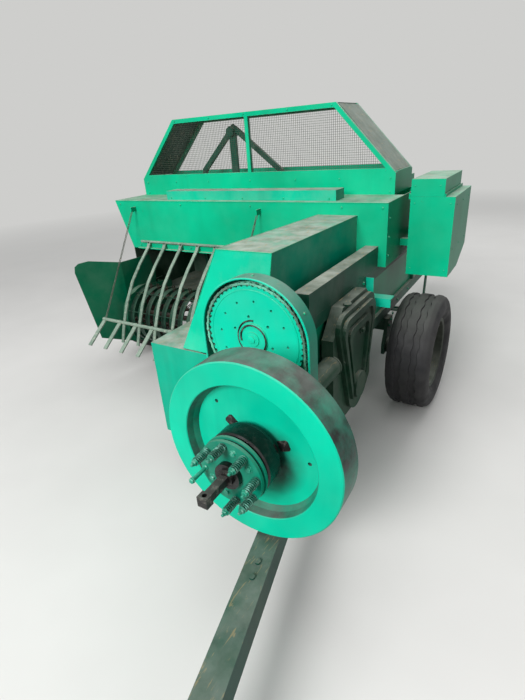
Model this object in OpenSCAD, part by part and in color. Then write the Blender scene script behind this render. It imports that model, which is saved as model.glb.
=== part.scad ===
// Square baler, towed, with side pickup, flywheel and spring loaded slip clutch.
// Working frame: x = 0 on the bale case's centre line, y = 0 at the wheel axis,
// z = 0 on the ground. -Y is the front, +X is the machine's left.
// placed() moves the whole machine so that the origin is the bottom centre of its box.

/* [Bale case] */
// Inside width of the bale case
bale_w = 457; // [420:1:480]
// Inside height of the bale case
bale_h = 356; // [330:1:370]
// Thickness of the bale case's walls
case_wall = 6; // [4:0.5:8]
// Height of the bale case's floor above the ground
case_floor_z = 540; // [530:1:550]
// Front end of the bale case
case_front_y = -1125; // [-1135:1:-1115]
// Rear end of the bale case
case_rear_y = 1650; // [1500:1:1800]
// Flange width of the four corner rails
rail_w = 20; // [14:1:22]
// Height of the corner rails
rail_h = 60; // [50:1:70]
// Height of the front beam on the left top rail
beam_h = 113; // [90:1:120]
// Width of the front beam
beam_w = 72; // [60:1:76]

/* [Feeder housing] */
// Thickness of the folded sheets
sheet = 5; // [3:0.5:6]
// Right end of the feeder housing at its top
house_right_x = -1750; // [-1800:1:-1700]
// Left end of the feeder housing
house_left_x = 300; // [285:1:315]
// Front face of the feeder panel
panel_y = -200; // [-210:1:-190]
// Depth of the feeder housing
house_depth = 656; // [620:1:700]
// Height of the feeder panel's top above the ground
house_top_z = 1243; // [1220:1:1270]
// How far the right end leans in towards its bottom
end_lean = 110; // [80:1:120]
// Depth of the step box
step_depth = 120; // [100:1:130]
// Height of the step box
step_h = 57; // [40:1:65]
// Length of the step box
step_len = 1261; // [1100:10:1300]

/* [Guard] */
// Length of the guard's base board
guard_len = 1970; // [1900:10:1980]
// Depth of the guard
guard_depth = 350; // [300:5:350]
// Height of the guard's base board
guard_base_h = 117; // [90:1:130]
// Height of the mesh frame above the base board
guard_h = 385; // [340:5:400]
// Run-in of the guard's sloped left end
guard_slope_l = 364; // [300:1:400]
// Run-in of the guard's sloped right end
guard_slope_r = 370; // [300:1:400]
// Width of the guard's frame bars
guard_bar = 26; // [20:1:30]
// Pitch of the mesh wires
mesh_pitch = 38; // [30:1:60]
// Width of one mesh wire
mesh_wire = 4; // [3:0.5:5]

/* [Wheels] */
// Radius of the tyres
tyre_r = 345; // [335:1:350]
// Width of the left tyre
tyre_l_w = 250; // [230:1:260]
// Width of the right tyre
tyre_r_w = 200; // [170:1:220]
// Radius of the rims
rim_r = 200; // [190:1:205]
// Radius of the stub axles
stub_r = 22; // [18:1:25]
// Running clearance between a moving piece and its pin
fit = 0.3; // [0.2:0.05:0.5]
// Side of the square axle beam
beam_side = 80; // [70:1:90]

/* [Flywheel and clutch] */
// Radius of the flywheel
fly_r = 342; // [320:1:350]
// Width of the flywheel's rim
fly_w = 120; // [100:1:130]
// Inner radius of the flywheel's flat rim
fly_rim_in = 258; // [240:1:270]
// Thickness of the flywheel's web
fly_web = 30; // [22:1:40]
// Radius of the flywheel shaft
shaft_r = 30; // [25:1:32]
// Front face of the flywheel
fly_front_y = -1639; // [-1650:1:-1630]
// Place of the flywheel shaft across the machine
fly_x = 300; // [295:1:305]
// Height of the flywheel shaft
fly_z = 648; // [646:1:652]
// Radius of the clutch's lining drum
drum_r = 118; // [114:1:124]
// Radius of the clutch's pressure plates
plate_r = 118; // [116:1:124]
// Number of clutch bolts
clutch_n = 8; // [6:1:10]
// Radius of the clutch's bolt circle
clutch_pcr = 101; // [92:1:106]
// Length of a clutch spring
spring_len = 62; // [50:1:70]
// Outer radius of a clutch spring
spring_r = 13; // [10:0.5:14]
// Number of coils in a clutch spring
spring_coils = 8; // [6:1:9]

/* [Drive disc and chain] */
// Place of the drive disc across the machine
disc_x = 129; // [124:1:134]
// Height of the drive disc's shaft
disc_z = 900; // [895:1:905]
// Chain pitch radius on the drive disc
disc_pitch_r = 218; // [214:0.5:219]
// Number of teeth on the drive disc
disc_teeth = 52; // [40:1:60]
// Chain pitch radius on the small sprocket
pinion_pitch_r = 54; // [50:0.5:58]
// Number of teeth on the small sprocket
pinion_teeth = 13; // [11:1:15]
// Number of links in the drive chain
chain_n = 60; // [50:1:64]
// Outer radius of the chain guard
chain_guard_r = 240; // [238:1:245]
// Depth of the chain guard's band
chain_guard_d = 69; // [64:1:75]

/* [Pickup] */
// Height of the reel's shaft
reel_z = 430; // [425:1:435]
// Place of the reel's shaft along the machine
reel_y = -300; // [-305:1:-295]
// Outer radius of the stripper bands
band_r = 212; // [205:1:214]
// Number of stripper bands
band_n = 15; // [13:1:15]
// Width of a stripper band
band_w = 40; // [30:1:40]
// Thickness of a stripper band
band_t = 4; // [3:0.5:5]
// Radius of the tine tips
tine_tip_r = 250; // [244:1:252]
// Radius of a tine wire
tine_wire_r = 3.5; // [3:0.5:4.5]
// Radius of the tine bars' circle
tine_bar_r = 150; // [140:1:160]
// Number of tine bars
tine_bar_n = 4; // [3:1:5]
// Thickness of a feed rod
feed_rod_t = 8; // [6:0.5:10]
// Width of a feed rod
feed_rod_w = 24; // [18:1:28]
// Radius of the windguard's cross bar
cross_bar_r = 11; // [9:0.5:13]

/* [Knotter and tension] */
// Radius from the needles' pivot to their middle line
needle_r = 500; // [490:1:505]
// Radius of a needle
needle_wire_r = 9; // [7:0.5:10]
// Place of the needle yoke's pivot along the case
needle_y = 1035; // [1030:1:1040]
// Number of coils in a tension spring
tension_coils = 9; // [7:1:11]
// Length of the bale chute
chute_len = 520; // [400:10:600]

/* [Twine box] */
// Width of the twine box
box_w = 231; // [210:1:240]
// Length of the twine box
box_len = 485; // [440:5:520]
// Height of the twine box's front
box_h = 430; // [380:5:450]
// Height of the twine box's floor above the ground
box_z = 815; // [800:5:830]
// Height of the lid
lid_h = 90; // [70:1:100]

/* [Drawbar] */
// Width of the tongue's tube
tongue_w = 88; // [80:1:95]
// Height of the tongue's tube
tongue_h = 100; // [90:1:108]
// Height of the tongue's top above the ground
tongue_top_z = 290; // [285:1:294]
// Length of the tongue from its pivot to the hitch pin
tongue_len = 1900; // [1700:10:2000]
// Angle of the tongue towards the machine's left
tongue_a = 13; // [10:0.5:15]
// Radius of the hitch pin's hole
hitch_r = 16; // [13:0.5:18]
// Radius of the tongue's pivot pin
pivot_r = 20; // [16:1:24]

/* [Hidden] */
$fn = 40;

green = [0.0, 0.62, 0.42];
dark_green = [0.10, 0.30, 0.22];
steel = [0.55, 0.56, 0.54];
black = [0.08, 0.08, 0.08];
rust = [0.40, 0.24, 0.16];

seat = 0.3;
case_in_x = bale_w / 2;
case_out_x = case_in_x + case_wall;
rail_x = case_out_x + rail_w;
case_top_z = case_floor_z + bale_h;
lid_z = case_top_z + case_wall;
house_rear_y = panel_y + house_depth;
house_low_x = house_right_x + end_lean;
table_front_y = -10;
guard_y = house_rear_y - guard_depth;
guard_x0 = house_right_x + 20;
guard_x1 = guard_x0 + guard_len;
guard_run_l = guard_slope_l / guard_h;
guard_run_r = guard_slope_r / guard_h;
guard_mid_x = (guard_x0 + guard_slope_r + guard_x1 - guard_slope_l) / 2;
guard_base_z = house_top_z + guard_base_h;
guard_top_z = guard_base_z + guard_h;
axle_z = tyre_r;
tyre_l_x = 475;
tyre_r_x = house_low_x - 130;
beam_y = 10;
fly_rear_y = fly_front_y + fly_w;
disc_y = fly_rear_y + 234;
guard_band_y = disc_y - 13;
gear_x0 = rail_x + 2;
gear_x1 = 352;
gear_y0 = -950;
gear_y1 = -450;
gear_z0 = 300;
gear_z1 = 890;
pivot_x = 203;
pivot_y = -1000;
hinge_y = -30;
hinge_z = 590;
side_x1 = -rail_x - 104.5;
band_x0 = house_low_x + 181;
band_x1 = side_x1 - 36;
band_pitch = (band_x1 - band_x0) / (band_n - 1);
side_x0 = band_x0 - 42;
hook_x = [band_x0 - 90, band_x1 - 91];
chain_low_x = [band_x0 - 92, band_x1 - 91];
guard_hinge_y = -470;
guard_hinge_z = 590;
cross_y = -686;
cross_z = 510;
rail_pipe_y = panel_y - 9 - seat;
rail_pipe_z = 955;
needle_z = case_floor_z + bale_h / 2;
box_x = max(house_left_x + 59, guard_x1 + 119);
box_y = 0;
knotter_y = house_rear_y + 104;
plate_y0 = fly_front_y - 98;
hub_y0 = plate_y0 - 20;

min_x = tyre_r_x - tyre_r_w / 2;
max_x = pivot_x + (tongue_len + 60) * sin(tongue_a) + (tongue_w / 2 - 4) * cos(tongue_a);
hitch_x = pivot_x + tongue_len * sin(tongue_a);
hitch_y = pivot_y - tongue_len * cos(tongue_a);
min_y = hitch_y - 60 * cos(tongue_a) - (tongue_w / 2 - 4) * sin(tongue_a);
max_y = case_rear_y + 30 + chute_len;

// Moves a piece from the working frame to the part's own origin
module placed() {
    translate([-(min_x + max_x) / 2, -(min_y + max_y) / 2, 0]) children();
}

// A block given by its lowest and highest corners
module block(lo, hi) {
    translate(lo) cube(hi - lo);
}

// A cylinder between two points
module bar(a, b, r) {
    d = b - a;
    translate(a) rotate([0, acos(d[2] / norm(d)), atan2(d[1], d[0])]) cylinder(h = norm(d), r = r);
}

// A tube along X, Y or Z that starts at p
module tube(p, dir, len, r, hole = 0) {
    translate(p) rotate(dir == "x" ? [0, 90, 0] : dir == "y" ? [-90, 0, 0] : [0, 0, 0])
        difference() {
            cylinder(h = len, r = r);
            if (hole > 0) translate([0, 0, -1]) cylinder(h = len + 2, r = hole);
        }
}

// Turns a profile drawn in the YZ plane into a plate that starts at x
module plate_x(x, t) {
    translate([x, 0, 0]) rotate([90, 0, 90]) linear_extrude(t) children();
}

// Turns a profile drawn in the XZ plane into a plate that starts at y
module plate_y(y, t) {
    translate([0, y + t, 0]) rotate([90, 0, 0]) linear_extrude(t) children();
}

// Unit vector square to the path between two of its points
function across(a, b) = [a[1] - b[1], b[0] - a[0]] / norm(b - a);

// Vector that joins the offsets of the two stretches that meet at point k of a path
function mitre(path, k) =
    let (n = len(path) - 1, i = max(k - 1, 0), j = min(k, n - 1),
        m = across(path[i], path[i + 1]) + across(path[j], path[j + 1]))
    m * 2 / (m * m);

// Flat outline of a bar of thickness t that follows a path
module strap(path, t) {
    n = len(path) - 1;
    polygon(concat([for (k = [0 : n]) path[k] + mitre(path, k) * t / 2],
        [for (k = [n : -1 : 0]) path[k] - mitre(path, k) * t / 2]));
}

// Chassis

module axle_beam() color(dark_green) {
    x0 = tyre_r_x + tyre_r_w / 2 + 22;
    x1 = rail_x;
    z0 = case_floor_z - case_wall - rail_w - beam_side;
    block([x0, beam_y, z0], [x1, beam_y + beam_side, z0 + beam_side]);
    for (s = [[x0 - 20, -1], [x1, 1]]) {
        plate_x(s[0], 20) polygon([[-60, axle_z - 45], [-60, axle_z + 20], [beam_y, z0 + beam_side],
            [beam_y + beam_side, z0 + beam_side], [beam_y + beam_side, z0], [50, axle_z - 45]]);
    }
    tube([tyre_r_x - 60, 0, axle_z], "x", x0 - 20 - tyre_r_x + 60, stub_r);
    tube([x1 + 20, 0, axle_z], "x", tyre_l_x + 60 - x1 - 20, stub_r);
    for (y = [beam_y, beam_y + beam_side - 10]) {
        block([-case_out_x, y, z0 + beam_side], [case_out_x, y + 10, case_floor_z - case_wall]);
    }
    for (x = [house_low_x + 200, -700]) {
        block([x, beam_y, z0 + beam_side], [x + 10, beam_y + beam_side, case_floor_z - sheet]);
    }
}

module drawbar_bracket() color(dark_green) {
    top_z = tongue_top_z + 2;
    low_z = tongue_top_z - tongue_h - 2;
    box_top_z = case_floor_z - case_wall;
    box_low_z = box_top_z - 80;
    difference() {
        union() {
            block([-rail_x, pivot_y - 100, box_low_z], [rail_x, pivot_y + 110, box_top_z]);
            block([pivot_x - 90, pivot_y + 75, low_z - 12], [pivot_x + 50, pivot_y + 95, box_low_z]);
            block([pivot_x - 90, pivot_y - 60, top_z], [pivot_x + 50, pivot_y + 75, top_z + 12]);
            block([pivot_x - 90, pivot_y - 60, low_z - 12], [pivot_x + 50, pivot_y + 75, low_z]);
            for (x = [pivot_x - 90, pivot_x + 38]) {
                block([x, pivot_y - 60, top_z + 12], [x + 12, pivot_y + 75, box_low_z]);
            }
        }
        block([-rail_x + 12, pivot_y - 88, box_low_z - 1], [rail_x - 12, pivot_y + 63, box_top_z - 12]);
        tube([pivot_x, pivot_y, low_z - 30], "z", tongue_h + 80, pivot_r + fit);
    }
    tube([pivot_x, pivot_y, low_z - 22], "z", tongue_h + 56, pivot_r);
    for (z = [low_z - 24, top_z + 12]) tube([pivot_x, pivot_y, z], "z", 12, pivot_r + 12);
}

// Bale case

// One wall sheet of the case between two places along it
module case_sheet(x0, x1, y0, y1, z0, z1) {
    block([x0, y0 + seat / 2, z0], [x1, y1 - seat / 2, z1]);
}

// Slots in the floor and the lid that the needles pass through
module needle_slots(z) {
    for (x = [-80, 80]) {
        block([x - 14, needle_y - needle_r + 10, z - 20], [x + 14, needle_y - needle_r + 75, z + 20]);
    }
}

module bale_case() color(green) {
    low_z = case_floor_z - case_wall;
    mouth_y = house_rear_y - sheet;
    difference() {
        union() {
            case_sheet(case_in_x, case_out_x, case_front_y, case_rear_y, low_z, lid_z);
            case_sheet(-case_out_x, -case_in_x, mouth_y, case_rear_y, low_z, lid_z);
        }
        for (s = [-1, 1]) for (y = [case_rear_y - 470, case_rear_y - 250]) {
            block([s * rail_x - 40, y, case_floor_z + 120], [s * rail_x + 40, y + 170, case_floor_z + 236]);
        }
    }
    case_sheet(-case_out_x, -case_in_x, case_front_y, panel_y, low_z, lid_z);
    case_sheet(-case_out_x, -case_in_x, panel_y, mouth_y, case_top_z - 40, lid_z);
    in_x = case_in_x - seat;
    difference() {
        case_sheet(-in_x, in_x, case_front_y, case_rear_y, low_z, case_floor_z);
        needle_slots(case_floor_z);
    }
    case_sheet(-case_out_x, -case_in_x, panel_y, mouth_y, low_z, case_floor_z);
    case_sheet(-in_x, in_x, case_front_y, panel_y, case_top_z, lid_z);
    difference() {
        case_sheet(-in_x, in_x, house_rear_y, case_rear_y - 560, case_top_z, lid_z);
        needle_slots(lid_z);
    }
    block([-in_x, case_front_y + seat, case_floor_z + seat],
        [in_x, case_front_y + case_wall, case_top_z - seat]);
}

module case_rails() color(dark_green) {
    low_z = case_floor_z - case_wall;
    post_z0 = low_z + rail_h + seat;
    post_z1 = lid_z - rail_h - seat;
    for (s = [-1, 1]) {
        x0 = s > 0 ? case_out_x : -rail_x;
        x1 = x0 + rail_w;
        low_y0 = s > 0 ? case_front_y : house_rear_y;
        top_y0 = s > 0 ? case_front_y : house_rear_y;
        block([x0, low_y0, low_z], [x1, case_rear_y, low_z + rail_h]);
        block([x0, top_y0, lid_z - rail_h], [x1, case_rear_y, lid_z]);
        for (y = [620, case_rear_y - 40]) block([x0, y, post_z0], [x1, y + 30, post_z1]);
        block([x0, needle_y - 20, post_z0], [x1, needle_y + 20, post_z1]);
        tube([s > 0 ? case_out_x + 1 : -rail_x - 20, needle_y, needle_z], "x", rail_w + 19, 16);
        for (x = [s * 130 - 38, s * 130 + 26]) {
            difference() {
                plate_x(x, 12) polygon([[case_rear_y - 60, low_z - 26], [case_rear_y + 29, low_z - 26],
                    [case_rear_y + 29, low_z - 4], [case_rear_y + 24, low_z], [case_rear_y - 60, low_z]]);
                tube([x - 1, case_rear_y + 18, low_z - 12], "x", 14, 8 + fit);
            }
        }
    }
    block([-rail_x, case_front_y, low_z], [-case_out_x, panel_y, low_z + rail_h]);
    block([-rail_x, panel_y + seat, low_z], [-case_out_x, house_rear_y - seat, case_floor_z]);
    block([-rail_x, case_front_y, lid_z - rail_h], [-case_out_x, panel_y, lid_z]);
    block([rail_x - beam_w, case_front_y + 65, lid_z + seat], [rail_x, panel_y, lid_z + beam_h]);
}

module plunger_head() color(steel) {
    gap = 3;
    face_y = panel_y - 6;
    difference() {
        block([-case_in_x + gap, -560, case_floor_z + seat], [case_in_x - gap, face_y, case_top_z - gap]);
        block([-case_in_x + 20, -561, case_floor_z + 18], [case_in_x - 20, face_y - 25, case_top_z - 18]);
    }
    for (x = [-150, 0, 150]) block([x - 26, face_y, case_floor_z + 12], [x + 26, panel_y, case_top_z - 12]);
}

// Feeder

module feeder_housing() color(green) {
    low_z = lid_z;
    front = [[house_right_x, house_top_z], [house_low_x, low_z], [house_left_x, low_z],
        [house_left_x, house_top_z]];
    plate_y(panel_y, sheet) polygon(front);
    plate_y(house_rear_y - sheet, sheet) polygon(front);
    block([house_right_x, panel_y, house_top_z - sheet], [house_left_x, guard_y, house_top_z]);
    block([house_left_x - sheet, panel_y, low_z], [house_left_x, house_rear_y, house_top_z]);
    plate_y(panel_y, house_depth) polygon([[house_right_x, house_top_z], [house_low_x, low_z],
        [house_low_x + sheet, low_z], [house_right_x + sheet, house_top_z]]);
    block([house_low_x + 60, panel_y - 18, low_z], [-case_out_x, panel_y, low_z + 8]);
    for (x = hook_x) block([x - 4, panel_y - 50, low_z + 268], [x + 4, panel_y, low_z + 300]);
}

module feed_table() color(dark_green) {
    low_z = case_floor_z - sheet;
    block([house_low_x, table_front_y, low_z], [-rail_x, house_rear_y, case_floor_z]);
    block([house_low_x, house_rear_y - sheet, case_floor_z], [-rail_x, house_rear_y, lid_z]);
    block([house_low_x, panel_y, case_floor_z + 60], [house_low_x + sheet, house_rear_y - sheet, lid_z]);
    block([house_low_x, table_front_y, case_floor_z],
        [house_low_x + sheet, house_rear_y - sheet, case_floor_z + 60]);
    block([-rail_x, house_rear_y - 30, lid_z - rail_h - 200], [-case_out_x, house_rear_y, lid_z - rail_h]);
    for (x = [house_low_x + sheet, -rail_x - 12]) {
        difference() {
            block([x, hinge_y - 24, case_floor_z], [x + 12, hinge_y + 60, hinge_z + 24]);
            tube([x - 1, hinge_y, hinge_z], "x", 14, 10 + fit);
            block([x - 1, hinge_y - 30, case_floor_z - 1], [x + 13, table_front_y, hinge_z - 25]);
        }
    }
}

module step_box() color(green) {
    x1 = -14;
    y0 = panel_y + 50;
    difference() {
        block([x1 - step_len, y0, house_top_z], [x1, y0 + step_depth, house_top_z + step_h]);
        block([x1 - step_len + sheet, y0 + sheet, house_top_z - 1],
            [x1 - sheet, y0 + step_depth - sheet, house_top_z + step_h - sheet]);
    }
}

module guard_base() color(green) {
    for (y = [guard_y, house_rear_y - sheet]) {
        block([guard_x0, y, house_top_z], [guard_x1, y + sheet, guard_base_z]);
    }
    for (x = [guard_x0, guard_x1 - sheet]) {
        block([x, guard_y + sheet, house_top_z], [x + sheet, house_rear_y - sheet, guard_base_z]);
    }
}

// Trapezoid of the guard's front, pulled in by d on every side
module guard_outline(d) {
    len_l = sqrt(1 + guard_run_l * guard_run_l);
    len_r = sqrt(1 + guard_run_r * guard_run_r);
    polygon([
        [guard_x0 + d * (len_r + guard_run_r), guard_base_z + d],
        [guard_x1 - d * (len_l + guard_run_l), guard_base_z + d],
        [guard_x1 - guard_slope_l - d * (len_l - guard_run_l), guard_top_z - d],
        [guard_x0 + guard_slope_r + d * (len_r - guard_run_r), guard_top_z - d]]);
}

module guard_frame() color(green) {
    for (y = [guard_y, house_rear_y - guard_bar]) {
        plate_y(y, guard_bar) difference() {
            guard_outline(0);
            guard_outline(guard_bar);
        }
    }
    block([guard_mid_x - guard_bar / 2, guard_y, guard_base_z + guard_bar],
        [guard_mid_x + guard_bar / 2, guard_y + guard_bar, guard_top_z - guard_bar]);
    for (x = [guard_x0, guard_x1 - guard_bar]) {
        block([x, guard_y + guard_bar, guard_base_z],
            [x + guard_bar, house_rear_y - guard_bar, guard_base_z + 8]);
    }
    for (x = [guard_x0 + guard_slope_r + 10, guard_x1 - guard_slope_l - 10 - guard_bar]) {
        block([x, guard_y + guard_bar, guard_top_z - guard_bar],
            [x + guard_bar, house_rear_y - guard_bar, guard_top_z - 8]);
    }
}

// Inside of the guard's front, less its middle post
module mesh_area() {
    difference() {
        guard_outline(guard_bar + seat);
        translate([guard_mid_x - guard_bar / 2 - seat, guard_base_z]) square([guard_bar + 2 * seat, guard_h]);
    }
}

// Upright wires, then cross wires just behind them, all ending at the frame's bars
module guard_mesh() color(steel) {
    y = guard_y + 9;
    plate_y(y, mesh_wire) intersection() {
        mesh_area();
        for (x = [guard_x0 + mesh_pitch : mesh_pitch : guard_x1]) {
            translate([x, guard_base_z]) square([mesh_wire, guard_h]);
        }
    }
    plate_y(y + mesh_wire + seat, mesh_wire) intersection() {
        mesh_area();
        for (z = [guard_base_z + mesh_pitch : mesh_pitch : guard_top_z]) {
            translate([guard_x0, z]) square([guard_len, mesh_wire]);
        }
    }
}

module guard_sides() color(dark_green) {
    edge = 10;
    t = sheet * 1.4;
    y0 = guard_y + guard_bar + seat;
    len = guard_depth - 2 * (guard_bar + seat);
    low_l = [guard_x1 - edge * guard_run_l, guard_base_z + edge];
    top_l = [guard_x1 - guard_slope_l + edge * guard_run_l, guard_top_z - 7];
    low_r = [guard_x0 + edge * guard_run_r, guard_base_z + edge];
    top_r = [guard_x0 + guard_slope_r - edge * guard_run_r, guard_top_z - 7];
    plate_y(y0, len) polygon([low_l, top_l, top_l - [t, 0], low_l - [t, 0]]);
    plate_y(y0, len) polygon([low_r, top_r, top_r + [t, 0], low_r + [t, 0]]);
    block([guard_x0 + guard_slope_r, y0, guard_top_z - 7.5],
        [guard_x1 - guard_slope_l, y0 + len, guard_top_z - 1]);
}

// Feeder carriage with its A shaped arms, and the fork tines that sweep the table
module feeder_forks() color(green) {
    y0 = guard_y + 120;
    low = house_top_z - 70;
    block([-1500, y0 - 30, low], [-100, y0 + 70, low + 60]);
    plate_y(y0 + 6, 22) union() {
        strap([[-1252, low + 30], [-1218, 1400], [-926, 1676]], 34);
        strap([[-945, low + 30], [-945, 1676]], 52);
        strap([[-926, 1660], [-579, 1383], [-545, low + 30]], 34);
    }
    tube([-945, y0 - 24, 1640], "y", 82, 30);
    for (x = [-1350, -900, -450]) {
        plate_y(y0, 24) polygon([[x - 30, low], [x + 30, low], [x + 70, case_floor_z + 120],
            [x + 95, case_floor_z + 60], [x + 50, case_floor_z + 110]]);
    }
    block([house_right_x + 30, y0, low + 10], [-1500, y0 + 40, low + 50]);
    block([-100, y0, low + 10], [house_left_x - sheet, y0 + 40, low + 50]);
}

// Front body

module hood() color(green) {
    z1 = 1175;
    rear = [[-101, panel_y], [130, panel_y]];
    near = [[-181, -1070], [99, -1070]];
    wall = [sheet, -sheet];
    translate([0, 0, lid_z]) difference() {
        linear_extrude(z1 - lid_z) polygon([rear[0], rear[1], near[1], near[0]]);
        translate([0, 0, -1]) linear_extrude(z1 - lid_z - sheet + 1) polygon([
            rear[0] + wall, rear[1] - [sheet, sheet], near[1] + [-sheet, 20], near[0] + [sheet, 20]]);
    }
    translate([0, 0, lid_z]) hull() {
        translate([-181, -1070, 0]) cube([280, 1, z1 - lid_z]);
        translate([-281, -1143, 0]) cube([380, 74, 1]);
    }
    hull() {
        translate([-281, -1143, lid_z - 1]) cube([380, 12, 1]);
        translate([-345, -1190, 725]) cube([444, 59, 1]);
    }
}

module front_shield() color(green) {
    y0 = -1195;
    block([-550, y0, 200], [-165, y0 + sheet, 720]);
    block([-550, y0 + sheet, 715], [-rail_x + 12, -900, 720]);
    block([-550, y0 + sheet, 200], [-550 + sheet, -900, 715]);
    block([-rail_x, y0 + sheet, case_floor_z - case_wall - 80], [-rail_x + 12, case_front_y, 715]);
    block([-545, -960, 660], [-rail_x, -940, 715]);
}

module gearcase() color(dark_green) {
    plate_x(gear_x0, gear_x1 - gear_x0 - 40) polygon([[gear_y0, gear_z0 + 60], [gear_y0, gear_z1 - 120],
        [gear_y0 + 110, gear_z1], [gear_y1 - 90, gear_z1], [gear_y1, gear_z1 - 90], [gear_y1, gear_z0 + 80],
        [gear_y1 - 80, gear_z0], [gear_y0 + 60, gear_z0]]);
    tube([fly_x, gear_y0, fly_z], "y", 10, 50);
    difference() {
        tube([fly_x, disc_y + 40, fly_z], "y", gear_y0 - disc_y - 40, 48);
        tube([fly_x, disc_y + 39, fly_z], "y", gear_y0 - disc_y - 34, shaft_r + fit);
    }
    block([rail_x, -860, gear_z0 + 300], [gear_x0, -780, lid_z - rail_h]);
    block([rail_x, -620, gear_z0 + 300], [gear_x0, -540, lid_z - rail_h]);
}

// Rounded outline of the gearcase's cover, pulled in by d
module cover_outline(d) {
    hull() {
        for (y = [gear_y0 + 90 + d, gear_y1 - 90 - d]) {
            translate([y, gear_z1 - 90 - d]) circle(r = 70 - d * 0.4, $fn = 32);
        }
        translate([(gear_y0 + gear_y1) / 2, gear_z0 + 120 + d]) circle(r = 110 - d * 0.6, $fn = 32);
    }
}

// Side cover with raised ribs that follow its rounded outline
module gearcase_cover() color(green) {
    x0 = gear_x1 - 40;
    y_mid = (gear_y0 + gear_y1) / 2;
    plate_x(x0, 22) cover_outline(0);
    for (d = [18, 62]) {
        plate_x(x0 + 22, 16) difference() {
            cover_outline(d);
            cover_outline(d + 22);
            translate([y_mid - 90, gear_z0]) square([180, 180]);
        }
    }
    tube([x0 + 22, y_mid, gear_z0 + 140], "x", 22, 70);
}

// Disc drive

// Outline of the chain guard: half a circle on top of a straight skirt
module guard_skirt(r) {
    translate([disc_x, disc_z]) circle(r = r);
    translate([disc_x - r, disc_z - 250]) square([2 * r, 250]);
}

module chain_guard() color(green) {
    y1 = guard_band_y + chain_guard_d;
    difference() {
        plate_y(guard_band_y, chain_guard_d) guard_skirt(chain_guard_r);
        plate_y(guard_band_y - 1, chain_guard_d - 4) translate([0, -1]) guard_skirt(chain_guard_r - 4);
        tube([disc_x, y1 - 6, disc_z], "y", 8, 14 + fit);
        tube([fly_x, y1 - 6, fly_z], "y", 8, 80);
    }
    tube([disc_x, y1, disc_z], "y", case_front_y - y1 - seat, 28, 14 + fit);
}

function chain_gap() = norm([fly_x - disc_x, fly_z - disc_z]);
function chain_dir() = atan2(fly_z - disc_z, fly_x - disc_x);
function wrap_a() = acos((disc_pitch_r - pinion_pitch_r) / chain_gap());
function big_arc() = disc_pitch_r * (360 - 2 * wrap_a()) * PI / 180;
function small_arc() = pinion_pitch_r * 2 * wrap_a() * PI / 180;
function run_len() = sqrt(pow(chain_gap(), 2) - pow(disc_pitch_r - pinion_pitch_r, 2));
function on_disc(a) = [disc_x + disc_pitch_r * cos(a), disc_z + disc_pitch_r * sin(a)];
function on_pinion(a) = [fly_x + pinion_pitch_r * cos(a), fly_z + pinion_pitch_r * sin(a)];

// Point of the chain's path at length s, counted from the disc's first tangent point
function chain_point(s) =
    let (a0 = chain_dir() + wrap_a(), a1 = chain_dir() - wrap_a(),
        l1 = big_arc(), l2 = l1 + run_len(), l3 = l2 + small_arc())
    s < l1 ? on_disc(a0 + s / disc_pitch_r * 180 / PI) :
    s < l2 ? on_disc(a1) + (on_pinion(a1) - on_disc(a1)) * (s - l1) / run_len() :
    s < l3 ? on_pinion(a1 + (s - l2) / pinion_pitch_r * 180 / PI) :
    on_pinion(a0) + (on_disc(a0) - on_pinion(a0)) * (s - l3) / run_len();

module drive_chain() color(rust) {
    total = big_arc() + small_arc() + 2 * run_len();
    pitch = total / chain_n;
    for (i = [0 : chain_n - 1]) {
        p = chain_point(i * pitch);
        q = chain_point((i + 1) * pitch);
        d = q - p;
        off = i % 2 == 0 ? 7.5 : 10;
        translate([p[0], disc_y, p[1]]) rotate([0, -atan2(d[1], d[0]), 0]) {
            for (y = [-off - 2, off]) translate([-5, y, -5.5]) cube([norm(d) + 10, 2, 11]);
            rotate([90, 0, 0]) cylinder(h = 2 * off, r = 4, center = true, $fn = 6);
        }
    }
}

// A flat sprocket around Y: teeth end just inside the chain's rollers
module sprocket(pitch_r, teeth, t) {
    tip_r = pitch_r - 4.3;
    root_r = pitch_r - 13;
    rotate([90, 0, 0]) linear_extrude(t, center = true)
        polygon([for (i = [0 : 4 * teeth - 1])
            let (a = (i - 0.5) * 90 / teeth, r = (i % 4 < 2) ? tip_r : root_r) [r * cos(a), r * sin(a)]]);
}

module drive_disc() color(green) {
    translate([disc_x, disc_y, disc_z]) difference() {
        union() {
            sprocket(disc_pitch_r, disc_teeth, 8);
            tube([0, -7, 0], "y", 6, 196);
            tube([0, -14, 0], "y", 14, 64);
            tube([0, -20, 0], "y", 10, 30);
            tube([0, 0, 0], "y", 14, 60);
        }
        tube([0, -40, 0], "y", 70, 14);
        for (a = [20 : 60 : 359]) rotate([0, a, 0]) tube([88, -20, 0], "y", 40, 6);
        for (a = [5 : 30 : 359]) rotate([0, a, 0]) tube([150, -20, 0], "y", 40, 5);
    }
    tube([disc_x, disc_y - 26, disc_z], "y", case_front_y - disc_y + 12, 14);
}

// Flywheel and clutch

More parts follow.
